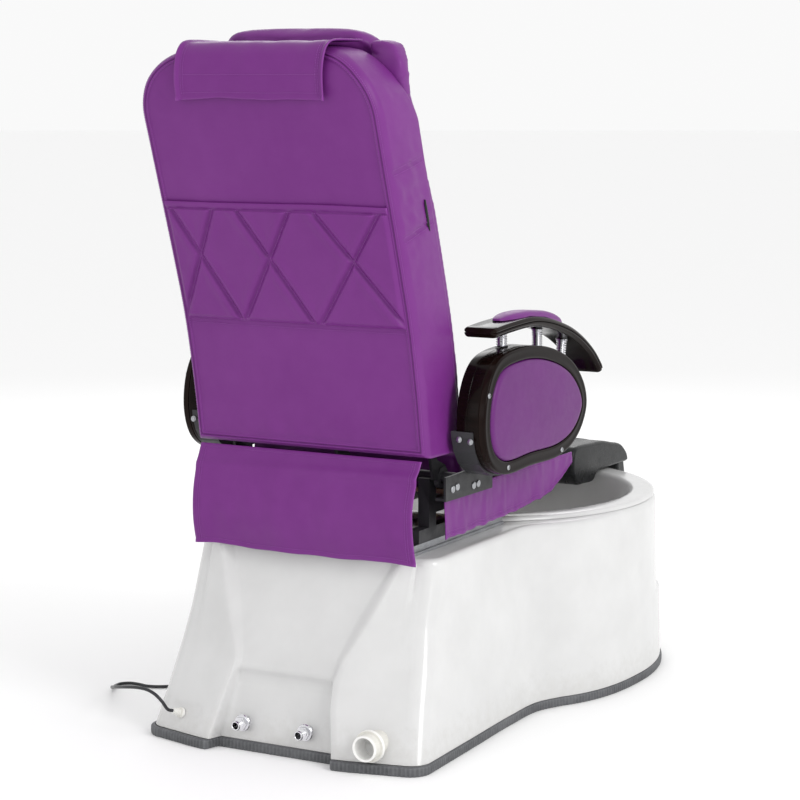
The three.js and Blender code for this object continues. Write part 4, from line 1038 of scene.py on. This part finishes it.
def inflated(made, voxel, cap, pressure=4.0):
    """Cloth pressure puffs a closed form out; no point moves further than cap."""
    bpy.context.view_layer.objects.active = made
    for other in bpy.context.selected_objects:
        other.select_set(False)
    made.select_set(True)
    remesh = made.modifiers.new("remesh", "REMESH")
    remesh.mode = "VOXEL"
    remesh.voxel_size = voxel
    bpy.ops.object.modifier_apply(modifier="remesh")
    before = np.empty(len(made.data.vertices) * 3)
    made.data.vertices.foreach_get("co", before)
    cloth = made.modifiers.new("cloth", "CLOTH")
    cloth.settings.use_pressure = True
    cloth.settings.uniform_pressure_force = pressure
    cloth.settings.effector_weights.gravity = 0
    cloth.settings.quality = 5
    cloth.point_cache.frame_end = 20
    for step in range(1, 21):
        bpy.context.scene.frame_set(step)
    bpy.ops.object.modifier_apply(modifier="cloth")
    after = np.empty_like(before)
    made.data.vertices.foreach_get("co", after)
    moved = (after - before).reshape(-1, 3)
    size = np.maximum(np.linalg.norm(moved, axis=1), 1e-9)
    capped = before.reshape(-1, 3) + moved * np.minimum(1, cap / size)[:, None]
    made.data.vertices.foreach_set("co", capped.ravel())
    made.data.update()
    bpy.context.scene.frame_set(1)
    return relaxed(made)


def relaxed(made, rounds=8):
    """Irons out the steps that a voxel surface has along its slopes."""
    smooth = made.modifiers.new("relax", "SMOOTH")
    smooth.factor = 0.5
    smooth.iterations = rounds
    bpy.ops.object.modifier_apply(modifier="relax")
    return made


def reshaped(made, move):
    """Moves each vertex by move(x, y, z) arrays, for seams and channels cut after the inflation."""
    flat = np.empty(len(made.data.vertices) * 3)
    made.data.vertices.foreach_get("co", flat)
    points = flat.reshape(-1, 3)
    points += move(points[:, 0], points[:, 1], points[:, 2])
    made.data.vertices.foreach_set("co", points.ravel())
    made.data.update()
    return made


# ---------- Backrest ----------
BACK_HALF, BACK_BOTTOM, BACK_TOP, BACK_CORNER = 0.276, 0.619, 1.436, 0.138
BACK_REAR_LINE = [(0.531, 0.617), (0.552, 0.745), (0.584, 0.890), (0.621, 1.010), (0.661, 1.130),
                  (0.698, 1.240), (0.729, 1.335), (0.739, 1.385), (0.733, 1.418), (0.712, 1.438)]
BOXING_DEPTH = 0.150             # sewn side strip of the back, rear edge to the gap before the front cushion
FRONT_DEPTH = 0.172
TOP_THIN = 118 / 168
POCKET_Z = (0.885, 1.130)
POCKET_HALF = 0.259
POCKET_HEM = 0.0126              # rolled hem along the pocket's top
QUILT_LINES = [(0.254, 0.117), (0.136, 0.265), (0.094, -0.055), (-0.047, 0.112), (-0.085, -0.265),
               (-0.249, -0.069)]  # x of each sewn line at the pocket's top and bottom
CROWN = 0.009                    # the rear face bulges this much at its middle
WING_INNER, WING_HALF, WING_TOP, WING_CORNER = 0.188, 0.270, 1.454, 0.058
PATCH_LOW_Z, PATCH_LOW_RISE = 1.060, 0.040      # seams across the side strip, rising towards the front
PATCH_HIGH_Z, PATCH_HIGH_RISE = 1.193, 0.031
REAR_CURVE = catmull(BACK_REAR_LINE, 200)
COLS, SIDE_ROWS, CORNER_ROWS = 93, 112, 22


def rear_y(z):
    return np.interp(z, REAR_CURVE[:, 1], REAR_CURVE[:, 0])


def thinned(z):
    return np.interp(z, [1.3, BACK_TOP], [1.0, TOP_THIN])


def crown(x, z):
    """Bulge of the rear face over its line; it dies out over the rounded top."""
    return CROWN * (1 - np.abs(np.asarray(x, float) / BACK_HALF) ** 2.5) * (1 - smooth_step(z, 1.36, 1.43))


def back_grid(inset):
    """(x, z) of a grid over the back as seen from behind, moved inward from its outline by inset."""
    half, low, high, corner = BACK_HALF - inset, BACK_BOTTOM + inset, BACK_TOP - inset, BACK_CORNER - inset
    rows = [(z, half) for z in np.linspace(low, high - corner, SIDE_ROWS)]
    for i in range(1, CORNER_ROWS + 1):
        angle = math.pi / 2 * i / CORNER_ROWS
        rows.append((high - corner + corner * math.sin(angle), half - corner + corner * math.cos(angle)))
    u = np.linspace(-1, 1, COLS)
    return np.array([(x * wide, z) for z, wide in rows for x in u])


ROWS = SIDE_ROWS + CORNER_ROWS
BACK_LOOP = panel_loop(ROWS, COLS)


def back_points(xz, depth, out=0.0):
    x, z = xz[:, 0], xz[:, 1]
    return np.column_stack([x, rear_y(z) - depth * thinned(z) + out, z])


def rear_relief(x, z):
    """Height of the rear cover over its plain surface: crown, seam at the pocket, slack and puckers."""
    seam = -0.0022 * gauss(z - (POCKET_Z[0] - 0.004), 0.0035)
    pucker = np.array([waver(a, 0.3, 38, 1.7) for a in x]) * 0.0012 * gauss(z - POCKET_Z[0] + 0.012, 0.022)
    foot = np.array([waver(a, 0.9, 30, 5.1) for a in x]) * 0.0018 * gauss(z - BACK_BOTTOM - 0.03, 0.035)
    slack = np.array([waver(a, b * 1.8, 7, 3.3) for a, b in zip(x, z)]) * 0.0016
    drag = np.array([waver(a * 0.5 + b * 0.35, b * 2.6, 15, 9.1) for a, b in zip(x, z)]) * 0.0008
    return crown(x, z) + seam + pucker + foot + slack + drag


def side_relief(depth, x, z):
    """The side strip bulges between its edges and is drawn in along the patch's two seams."""
    t = depth / BOXING_DEPTH
    bulge = 0.0028 * math.sin(math.pi * min(max(t, 0), 1))
    low, high = PATCH_LOW_Z + PATCH_LOW_RISE * t, PATCH_HIGH_Z + PATCH_HIGH_RISE * t
    drawn = -0.0046 * (gauss(z - low, 0.0042) + gauss(z - high, 0.0042))
    near = gauss(z - (low + high) / 2, 0.075)
    creases = np.array([waver(depth * 22 + b * 3, b * 26, 1.6, 7.7) for b in z]) * (0.0010 + 0.0030 * near)
    on_side = smooth_step(np.abs(x), BACK_HALF - 0.05, BACK_HALF - 0.008)
    return bulge + (drawn + creases) * on_side * math.sin(math.pi * min(max(0.12 + 0.8 * t, 0), 1))


def back_ring(inset, depth, out=0.0, relief=False):
    outline = back_grid(inset)[BACK_LOOP]
    points = back_points(outline, depth, out)
    if relief:
        reach = BACK_HALF - BACK_CORNER
        away = np.column_stack([outline[:, 0] - np.clip(outline[:, 0], -reach, reach),
                                outline[:, 1] - np.clip(outline[:, 1], BACK_BOTTOM + 0.002,
                                                        BACK_TOP - BACK_CORNER)])
        away /= np.maximum(np.linalg.norm(away, axis=1, keepdims=True), 1e-9)
        amount = side_relief(depth, outline[:, 0], outline[:, 1])
        points[:, 0] += away[:, 0] * amount
        points[:, 2] += away[:, 1] * amount * (outline[:, 1] > 1.0)
    return points


def make_back_cover():
    """Sewn rear tray: crowned rear panel, a welt with two ridges, boxing strip, open at the front."""
    inner_inset = 0.030
    grid = back_grid(inner_inset)
    face = back_points(grid, 0.0, rear_relief(grid[:, 0], grid[:, 1]))
    edge = face[BACK_LOOP]
    lift = rear_relief(grid[BACK_LOOP, 0], grid[BACK_LOOP, 1])
    welt = [(0.0240, -0.0004, 0.9), (0.0196, -0.0010, 0.8), (0.0180, 0.0014, 0.7), (0.0162, 0.0030, 0.6),
            (0.0144, 0.0018, 0.5), (0.0130, -0.0022, 0.5), (0.0116, 0.0014, 0.4), (0.0098, 0.0030, 0.3),
            (0.0080, 0.0012, 0.2)]
    rings = [edge]
    for inset, out, keep in welt:
        ring = back_ring(inset, 0.0, 0.0)
        ring[:, 1] += out + lift * keep
        rings.append(ring)
    rings += [back_ring(0.0055, 0.0014), back_ring(0.0030, 0.0042), back_ring(0.0012, 0.0082)]
    rings += [back_ring(0.0, d, relief=True) for d in np.linspace(0.014, BOXING_DEPTH - 0.004, 24)]
    rings += [back_ring(0.0016, BOXING_DEPTH - 0.0012), back_ring(0.0050, BOXING_DEPTH),
              back_ring(0.0105, BOXING_DEPTH - 0.001), back_ring(0.0125, BOXING_DEPTH - 0.006)]
    rings += [back_ring(0.0125, d) for d in (0.110, 0.070, 0.030, 0.016)]
    inner = back_points(back_grid(0.0150), 0.0125)
    rings.append(inner[BACK_LOOP])
    parts = [(face, panel_faces(ROWS, COLS)), skin(rings, start_cap=False, end_cap=False),
             (inner, [tuple(reversed(f)) for f in panel_faces(ROWS, COLS)])]
    cover = piece("rear_cover", *joined(parts), VINYL, "backrest", ["back_cover"], "vinyl", sharp=0)
    welded(cover)


def quilt_line(top_x, bottom_x, count=60):
    """Points (x, z) along a sewn line of the pocket, between its seam and its hem, kept on the panel."""
    low, high = POCKET_Z[0] + 0.008, POCKET_Z[1] - 0.024
    line = [(top_x + (bottom_x - top_x) * (POCKET_Z[1] - z) / (POCKET_Z[1] - POCKET_Z[0]), z)
            for z in np.linspace(high, low, count)]
    return [(x, z) for x, z in line if abs(x) < POCKET_HALF - 0.010]


def quilt_distance(x, z):
    """Distance of each point to the nearest sewn line."""
    low, high = POCKET_Z
    nearest = np.full_like(x, 1.0)
    for top_x, bottom_x in QUILT_LINES:
        run = np.array([top_x - bottom_x, high - low])
        run /= np.linalg.norm(run)
        nearest = np.minimum(nearest, np.abs((x - bottom_x) * run[1] - (z - low) * run[0]))
    return nearest


def make_pocket():
    """Quilted pocket on the rear cover: flat padded fields between V grooves, rolled top hem."""
    cols, rows = 281, 137
    low, high = POCKET_Z
    x, z = np.meshgrid(np.linspace(-POCKET_HALF, POCKET_HALF, cols), np.linspace(low, high, rows))
    x, z = x.ravel(), z.ravel()
    nearest = quilt_distance(x, z)
    field = 0.0072 * smooth_step(nearest, 0.0, 0.0090) + 0.0016 * gauss(nearest - 0.015, 0.009)
    pinch = np.array([waver(a, b, 60, 4.4) for a, b in zip(x, z)]) * 0.0007 * gauss(nearest, 0.014)
    slack = np.array([waver(a, b, 16, 8.2) for a, b in zip(x, z)]) * 0.0009
    rim = np.minimum.reduce([(POCKET_HALF - np.abs(x)) / 0.010, (z - low) / 0.010, np.ones_like(x)])
    puff = 0.0022 + (field + pinch + slack) * np.sin(np.clip(rim, 0, 1) * math.pi / 2)
    hem = smooth_step(z, high - POCKET_HEM - 0.005, high - POCKET_HEM)
    across = (z - (high - POCKET_HEM / 2)) / (POCKET_HEM / 2 + 0.0008)
    rolled = 0.0030 + 0.0045 * np.sqrt(np.clip(1 - across ** 2, 0, 1))
    rolled += np.array([waver(a, 0.2, 26, 6.6) for a in x]) * 0.0010
    height = puff * (1 - hem) + rolled * hem
    sag = np.array([waver(a, 0.7, 5.5, 2.2) for a in x]) * 0.0030 * hem
    surface = rear_y(z) + crown(x, z)
    outer = np.column_stack([x, surface + height, z + sag])
    inner = np.column_stack([x, surface - 0.0028, z + sag])
    pocket = piece("quilted_pocket", *slab_between(outer, inner, rows, cols), VINYL, "backrest",
                   ["pocket_panel"], "vinyl", sharp=0)


def rear_point(x, z, out):
    return (x, float(rear_y(z) + crown(x, z)) + out, z)


def make_back_stitching():
    low, high = POCKET_Z
    lines = []
    for z, out in ((high - POCKET_HEM - 0.0030, 0.0062), (low + 0.0045, 0.0050)):
        lines.append(([rear_point(x, z, out) for x in np.linspace(-0.252, 0.252, 60)], (0, 1, 0.3)))
    lines.append(([rear_point(x, low - 0.0095, 0.0010) for x in np.linspace(-0.25, 0.25, 60)], (0, 1, 0.3)))
    lines += [([rear_point(x, z, 0.0027) for x, z in quilt_line(*ends)], (0, 1, 0.3)) for ends in QUILT_LINES]
    for inset, out in ((0.0185, 0.0018), (0.0060, 0.0004)):
        outline = back_grid(inset)[BACK_LOOP]
        ring = back_points(outline, 0.0, out + 0.6 * crown(outline[:, 0], outline[:, 1]))
        lines.append((ring[COLS:], (0, 1, 0.3)))
    for side in (LEFT, RIGHT):
        for base_z, rise in ((PATCH_LOW_Z, PATCH_LOW_RISE), (PATCH_HIGH_Z, PATCH_HIGH_RISE)):
            for away in (-0.0052, 0.0052):
                seam = []
                for d in np.linspace(0.014, BOXING_DEPTH - 0.012, 20):
                    z = base_z + rise * d / BOXING_DEPTH + away
                    bulge = 0.0028 * math.sin(math.pi * d / BOXING_DEPTH)
                    seam.append((side * (BACK_HALF + bulge - 0.0002), float(rear_y(z)) - d, z))
                lines.append((seam, (side, 0, 0)))
    piece("back_stitches", *stitches(lines), THREAD, "backrest", slot="vinyl", sharp=0)


def make_vent_slit():
    """Small dark plastic lens in each side patch."""
    parts = []
    for side in (LEFT, RIGHT):
        rings = []
        for t in np.linspace(-1, 1, 25):
            z = 1.1085 + 0.0315 * t
            y = 0.537 + 0.010 * t
            half = 0.0046 * math.sqrt(max(1 - t * t, 0.0004))
            x = side * (BACK_HALF + 0.0022)
            rings.append([(x + side * 0.0016 * math.cos(a), y + half * math.sin(a), z)
                          for a in np.linspace(0, 2 * math.pi, 14, endpoint=False)])
        parts.append(skin(rings))
    piece("side_slits", *joined(parts), BLACK_PLASTIC, "backrest", slot="black_plastic", sharp=50)


def wing_slab():
    """The front cushion's upper corner that stands up beside the head pillow, on the sitter's left."""
    rows, cols = 40, 14
    grid = []
    for z in np.linspace(1.23, WING_TOP, rows):
        over = max(0.0, z - (WING_TOP - WING_CORNER))
        half = WING_HALF - 0.012 * (1 - float(smooth_step(z, 1.30, 1.38)))
        outer = half - WING_CORNER + math.sqrt(max(WING_CORNER ** 2 - over ** 2, 0.0))
        grid += [(x, z) for x in np.linspace(WING_INNER, outer, cols)]
    grid = np.array(grid)
    front = back_points(grid, FRONT_DEPTH - 0.008)
    front[:, 1] -= 0.018 * smooth_step(grid[:, 1], 1.32, 1.43)
    return slab_between(back_points(grid, BOXING_DEPTH + 0.0055), front, rows, cols)


def make_front_cushion():
    """Front of the back, puffed by cloth pressure, then sewn into channels and side bolsters."""
    grid = back_grid(0.012)
    # Wide enough to show beside the sewn side strip.
    grid[:, 0] *= 1 + 0.032 * (1 - smooth_step(grid[:, 1], 1.10, 1.20))
    front = back_points(grid, FRONT_DEPTH)
    rear = back_points(grid, BOXING_DEPTH + 0.0045)
    parts = [slab_between(rear, front, ROWS, COLS)] + [mirror_x(*wing_slab(), side) for side in (LEFT, RIGHT)]
    made = piece("front_cushion", *joined(parts), VINYL, None, sharp=0)
    inflated(made, 5 * MM, 7 * MM)

    def channels(x, y, z):
        ahead = smooth_step((rear_y(z) - y) / thinned(z), 0.158, 0.170)
        bolster = 0.020 * smooth_step(np.abs(x), 0.165, 0.215) * smooth_step(z, 0.66, 0.8)
        bolster = bolster * (1 - smooth_step(np.abs(x), 0.245, 0.276) * 0.75)
        dips = 0.007 * (gauss(np.abs(x) - 0.165, 0.006) + sum(gauss(z - at, 0.006) * (np.abs(x) < 0.165)
                                                            for at in (0.76, 0.90, 1.04, 1.18)))
        return np.column_stack([np.zeros_like(x), -(bolster - dips) * ahead, np.zeros_like(x)])

    reshaped(made, channels)
    dressed(made, VINYL, "backrest", ["back_cushion"], sharp=0, level=1)


# ---------- Head pillow and its strap over the top ----------
PILLOW_PROFILE = [(0.474, 1.244), (0.498, 1.248), (0.530, 1.340), (0.556, 1.420), (0.592, 1.450),
                  (0.603, 1.458), (0.594, 1.468), (0.556, 1.470), (0.518, 1.456), (0.478, 1.400),
                  (0.454, 1.302)]
PILLOW_HALF = 0.178
FLAP_PATH = [(0.7425, 1.338), (0.7475, 1.362), (0.7490, 1.386), (0.7460, 1.408), (0.7400, 1.425),
             (0.7280, 1.4375), (0.7120, 1.4425), (0.6800, 1.4440), (0.6400, 1.4440), (0.6040, 1.4440)]
FLAP_HALF = 0.170
FLAP_THICK = 0.0026


def make_pillow():
    loop = catmull(PILLOW_PROFILE, 56, closed=True)
    rings = []
    for x in np.linspace(-PILLOW_HALF, PILLOW_HALF, 40):
        size = 0.55 + 0.45 * (1 - (abs(x) / (PILLOW_HALF + 0.002)) ** 7) ** 0.5
        centre = loop.mean(axis=0)
        moved = centre + (loop - centre) * size
        rings.append(np.column_stack([np.full(len(moved), x), moved[:, 0], moved[:, 1]]))
    made = piece("pillow", *skin(rings), VINYL, None, sharp=0)
    inflated(made, 5 * MM, 9 * MM)

    def creases(x, y, z):
        near_end = smooth_step(np.abs(x), 0.10, 0.168)
        wave = np.array([waver(a, b + c, 42, 2.9) for a, b, c in zip(x, y, z)]) * 0.0026 * near_end
        return np.column_stack([np.zeros_like(x), wave, wave * 0.6])

    reshaped(made, creases)
    dressed(made, VINYL, "backrest", ["head_pillow"], sharp=0, level=1)


def flap_point(u, along, path, out):
    """A point of the draped strap: u across from -1 to 1, along its length from 0 (rear hem) to 1."""
    index = along * (len(path) - 1)
    y = float(np.interp(index, range(len(path)), path[:, 0]))
    z = float(np.interp(index, range(len(path)), path[:, 1]))
    low = max(0, int(index) - 1)
    high = min(len(path) - 1, int(index) + 2)
    tangent = path[high] - path[low]
    tangent = tangent / np.linalg.norm(tangent)
    normal = np.array([tangent[1], -tangent[0]])
    hem = 1 - float(smooth_step(along, 0.0, 0.10))
    ripple = 0.0016 * waver(u * 1.7, along * 0.6, 2.4, 3.1) + 0.0034 * hem * waver(u * 2.1, 0.0, 1.7, 8.0)
    curl = 0.0050 * float(smooth_step(abs(u), 0.93, 1.0)) * (1 - 0.6 * along)
    roll = 0.0019 * math.exp(-((along - 0.018) / 0.014) ** 2)
    side_roll = 0.0011 * math.exp(-((abs(u) - 0.975) / 0.018) ** 2)
    lift = 0.0012 + max(0.0, ripple + 0.0016) + curl + out
    lift += (roll + side_roll) * (1 if out > 0 else -0.2)
    droop = -0.004 * hem * (waver(u * 1.3, 0.4, 1.9, 5.5) + 0.2)
    return (u * (FLAP_HALF + 0.0008 * waver(along * 3, 0, 2, 1.0)), y + normal[0] * lift,
            z + normal[1] * lift + droop)


def make_flap():
    """Strap of the pillow: a hemmed sheet over the top of the back, hanging down behind."""
    cols, rows = 121, 84
    path = catmull(FLAP_PATH, 160)
    outer, inner = [], []
    for v in np.linspace(0, 1, rows):
        for u in np.linspace(-1, 1, cols):
            outer.append(flap_point(u, v, path, FLAP_THICK))
            inner.append(flap_point(u, v, path, 0.0))
    flap = piece("pillow_strap", *slab_between(outer, inner, rows, cols), VINYL, "backrest", ["pillow_flap"],
                 "vinyl", sharp=0)
    length = float(np.linalg.norm(np.diff(path, axis=0), axis=1).sum())
    lines = [([flap_point(u, v, path, FLAP_THICK + 0.0003) for v in np.linspace(0.05, 0.95, 60)], (0, 1, 0.5))
             for u in (-0.925, -0.895, 0.895, 0.925)]
    lines += [([flap_point(u, v, path, FLAP_THICK + 0.0003) for u in np.linspace(-0.9, 0.9, 80)], (0, 1, 0.2))
              for v in (0.055, 0.20)]
    thread = piece("strap_stitches", *stitches(lines), THREAD, "backrest", slot="vinyl", sharp=0)


# ---------- Skirts ----------
SKIRT_HALF, SKIRT_TOP, SKIRT_FOOT = 0.265, 0.6135, 0.404
SKIRT_THICK = 0.0022


def skirt_point(u, t, out):
    """The rear skirt: t runs from the seam at the top (0) to the hem (1); it bellies to the rear."""
    belly = 0.026 * math.sin(math.pi * min(1.0, t * 1.04)) ** 0.9 * (1 - 0.10 * u * u)
    fold = 0.0050 * math.exp(-((t - 0.17 - 0.02 * u) / 0.050) ** 2) * (1 - 0.3 * u)
    drag = 0.0060 * t * waver(u * 1.8, t * 0.7, 1.5, 4.2) + 0.0022 * waver(u * 4.0, t * 2.2, 1.5, 7.0)
    hem = 0.0011 * (math.exp(-((t - 0.978) / 0.012) ** 2) + math.exp(-((abs(u) - 0.978) / 0.009) ** 2))
    y = 0.5345 + 0.026 * t + belly + fold + drag * min(1, t * 5)
    wave = 0.0045 * t * waver(u * 2.2, 0.1, 1.4, 6.3)
    x = u * (SKIRT_HALF - 0.002 * math.sin(math.pi * t))
    return (x, y + out + hem * (1 if out > 0 else -0.3), SKIRT_TOP - (SKIRT_TOP - SKIRT_FOOT) * t + wave)


def make_rear_skirt():
    cols, rows = 141, 64
    outer = [skirt_point(u, t, SKIRT_THICK / 2)
             for t in np.linspace(0, 1, rows) for u in np.linspace(-1, 1, cols)]
    inner = [skirt_point(u, t, -SKIRT_THICK / 2)
             for t in np.linspace(0, 1, rows) for u in np.linspace(-1, 1, cols)]
    skirt = piece("rear_skirt_panel", *slab_between(outer, inner, rows, cols), VINYL, None, ["rear_skirt"],
                  "vinyl", sharp=0)
    lines = [([skirt_point(u, t, SKIRT_THICK / 2 + 0.0004) for t in np.linspace(0.02, 0.98, 40)], (0, 1, 0))
             for u in (-0.958, -0.938, 0.938, 0.958)]
    lines += [([skirt_point(u, t, SKIRT_THICK / 2 + 0.0004) for u in np.linspace(-0.93, 0.93, 90)], (0, 1, 0))
              for t in (0.030, 0.955)]
    thread = piece("skirt_stitches", *stitches(lines), THREAD, None, slot="vinyl", sharp=0)
    length = float(sum(np.linalg.norm(np.subtract(skirt_point(0, b, 0), skirt_point(0, a, 0)))
                       for a, b in zip(np.linspace(0, 1, 41), np.linspace(0, 1, 41)[1:])))
    for part in (skirt, thread):
        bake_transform(part)


SIDE_SKIRT_HEM = [(0.446, 0.439), (0.400, 0.441), (0.300, 0.443), (0.130, 0.447), (0.030, 0.454),
                  (-0.050, 0.461), (-0.110, 0.488), (-0.166, 0.514)]
SIDE_SKIRT_TOP_Z = 0.536


def side_skirt_point(t, v, out, seed):
    """t runs along the seat from the rear, v down from the seam to the hem."""
    y = 0.446 - 0.612 * t
    hem_z = float(np.interp(-y, [-p[0] for p in SIDE_SKIRT_HEM], [p[1] for p in SIDE_SKIRT_HEM]))
    jag = 0.0042 * waver(t * 9, 0.0, 2.2, seed) * v
    wave = 0.0045 * v * waver(t * 7, v * 0.5, 1.9, seed + 2) + 0.0016 * waver(t * 20, v, 1.8, seed + 5)
    hem = 0.0011 * math.exp(-((v - 0.95) / 0.04) ** 2)
    x = 0.2705 + max(wave, -0.0016) + 0.0022 * v + out + hem * (1 if out > 0 else -0.3)
    return (x, y, SIDE_SKIRT_TOP_Z + (hem_z - SIDE_SKIRT_TOP_Z) * v + jag)


def make_side_skirts():
    cols, rows = 150, 26
    for side, word, seed in ((LEFT, "left", 1.3), (RIGHT, "right", 4.9)):
        grid = [(t, v) for v in np.linspace(0, 1, rows) for t in np.linspace(0, 1, cols)]
        outer = [side_skirt_point(t, v, 0.0011, seed) for t, v in grid]
        inner = [side_skirt_point(t, v, -0.0011, seed) for t, v in grid]
        skirt = piece("side_skirt_" + word, *mirror_x(*slab_between(outer, inner, rows, cols), side), VINYL,
                      "seat", ["seat_skirt_" + word], "vinyl", sharp=0)
        lines = [([side_skirt_point(t, v, 0.0016, seed) for t in np.linspace(0.01, 0.99, 90)], (1, 0, 0))
                 for v in (0.07, 0.86, 0.93)]
        thread = piece("side_skirt_stitches_" + word, *mirror_x(*stitches(lines), side), THREAD, "seat",
                       slot="vinyl", sharp=0)
        edge = [side_skirt_point(t, 1, 0, seed) for t in np.linspace(0, 1, 60)]


def make_seat_cushion():
    """Seat cushion, puffed by cloth pressure, with sewn channels across and side bolsters."""
    profile = [(0.330, 0.528), (0.352, 0.546), (0.366, 0.566), (0.366, 0.600), (0.350, 0.607), (0.100, 0.610),
               (-0.070, 0.610), (-0.140, 0.604), (-0.170, 0.578), (-0.170, 0.546), (-0.140, 0.528),
               (0.1, 0.5265)]
    loop = catmull(profile, 150, closed=True)
    rings = []
    for x in np.linspace(-0.257, 0.257, 60):
        shrink = 0.012 * max(0.0, (abs(x) - 0.243) / 0.014) ** 2
        centre = np.array([0.1, 0.568])
        moved = centre + (loop - centre) * np.array([1 - shrink / 0.27, 1 - shrink / 0.042])
        rings.append(np.column_stack([np.full(len(moved), x), moved[:, 0], moved[:, 1]]))
    made = piece("seat_cover", *skin(rings), VINYL, None, sharp=0)
    inflated(made, 6 * MM, 7 * MM)

    def channels(x, y, z):
        above = smooth_step(z, 0.585, 0.606)
        bolster = 0.012 * smooth_step(np.abs(x), 0.17, 0.22) * (1 - smooth_step(np.abs(x), 0.24, 0.264) * 0.8)
        bolster = bolster * smooth_step(0.3 - y, 0.0, 0.1)
        dips = 0.006 * (gauss(np.abs(x) - 0.17, 0.006) + sum(gauss(y - at, 0.006) * (np.abs(x) < 0.17)
                                                           for at in (-0.05, 0.08, 0.21)))
        return np.column_stack([np.zeros_like(x), np.zeros_like(x), (bolster - dips) * above])

    reshaped(made, channels)
    dressed(made, VINYL, "seat", ["seat_cushion"], sharp=0, level=1)


def make_backrest():
    make_back_cover()
    make_pocket()
    make_back_stitching()
    make_vent_slit()
    make_front_cushion()
    make_pillow()
    make_flap()


def make_seat():
    make_seat_cushion()
    make_rear_skirt()
    make_side_skirts()


make_lead()
make_base()
make_arms()
make_footrest()
make_mechanism()
make_backrest()
make_seat()
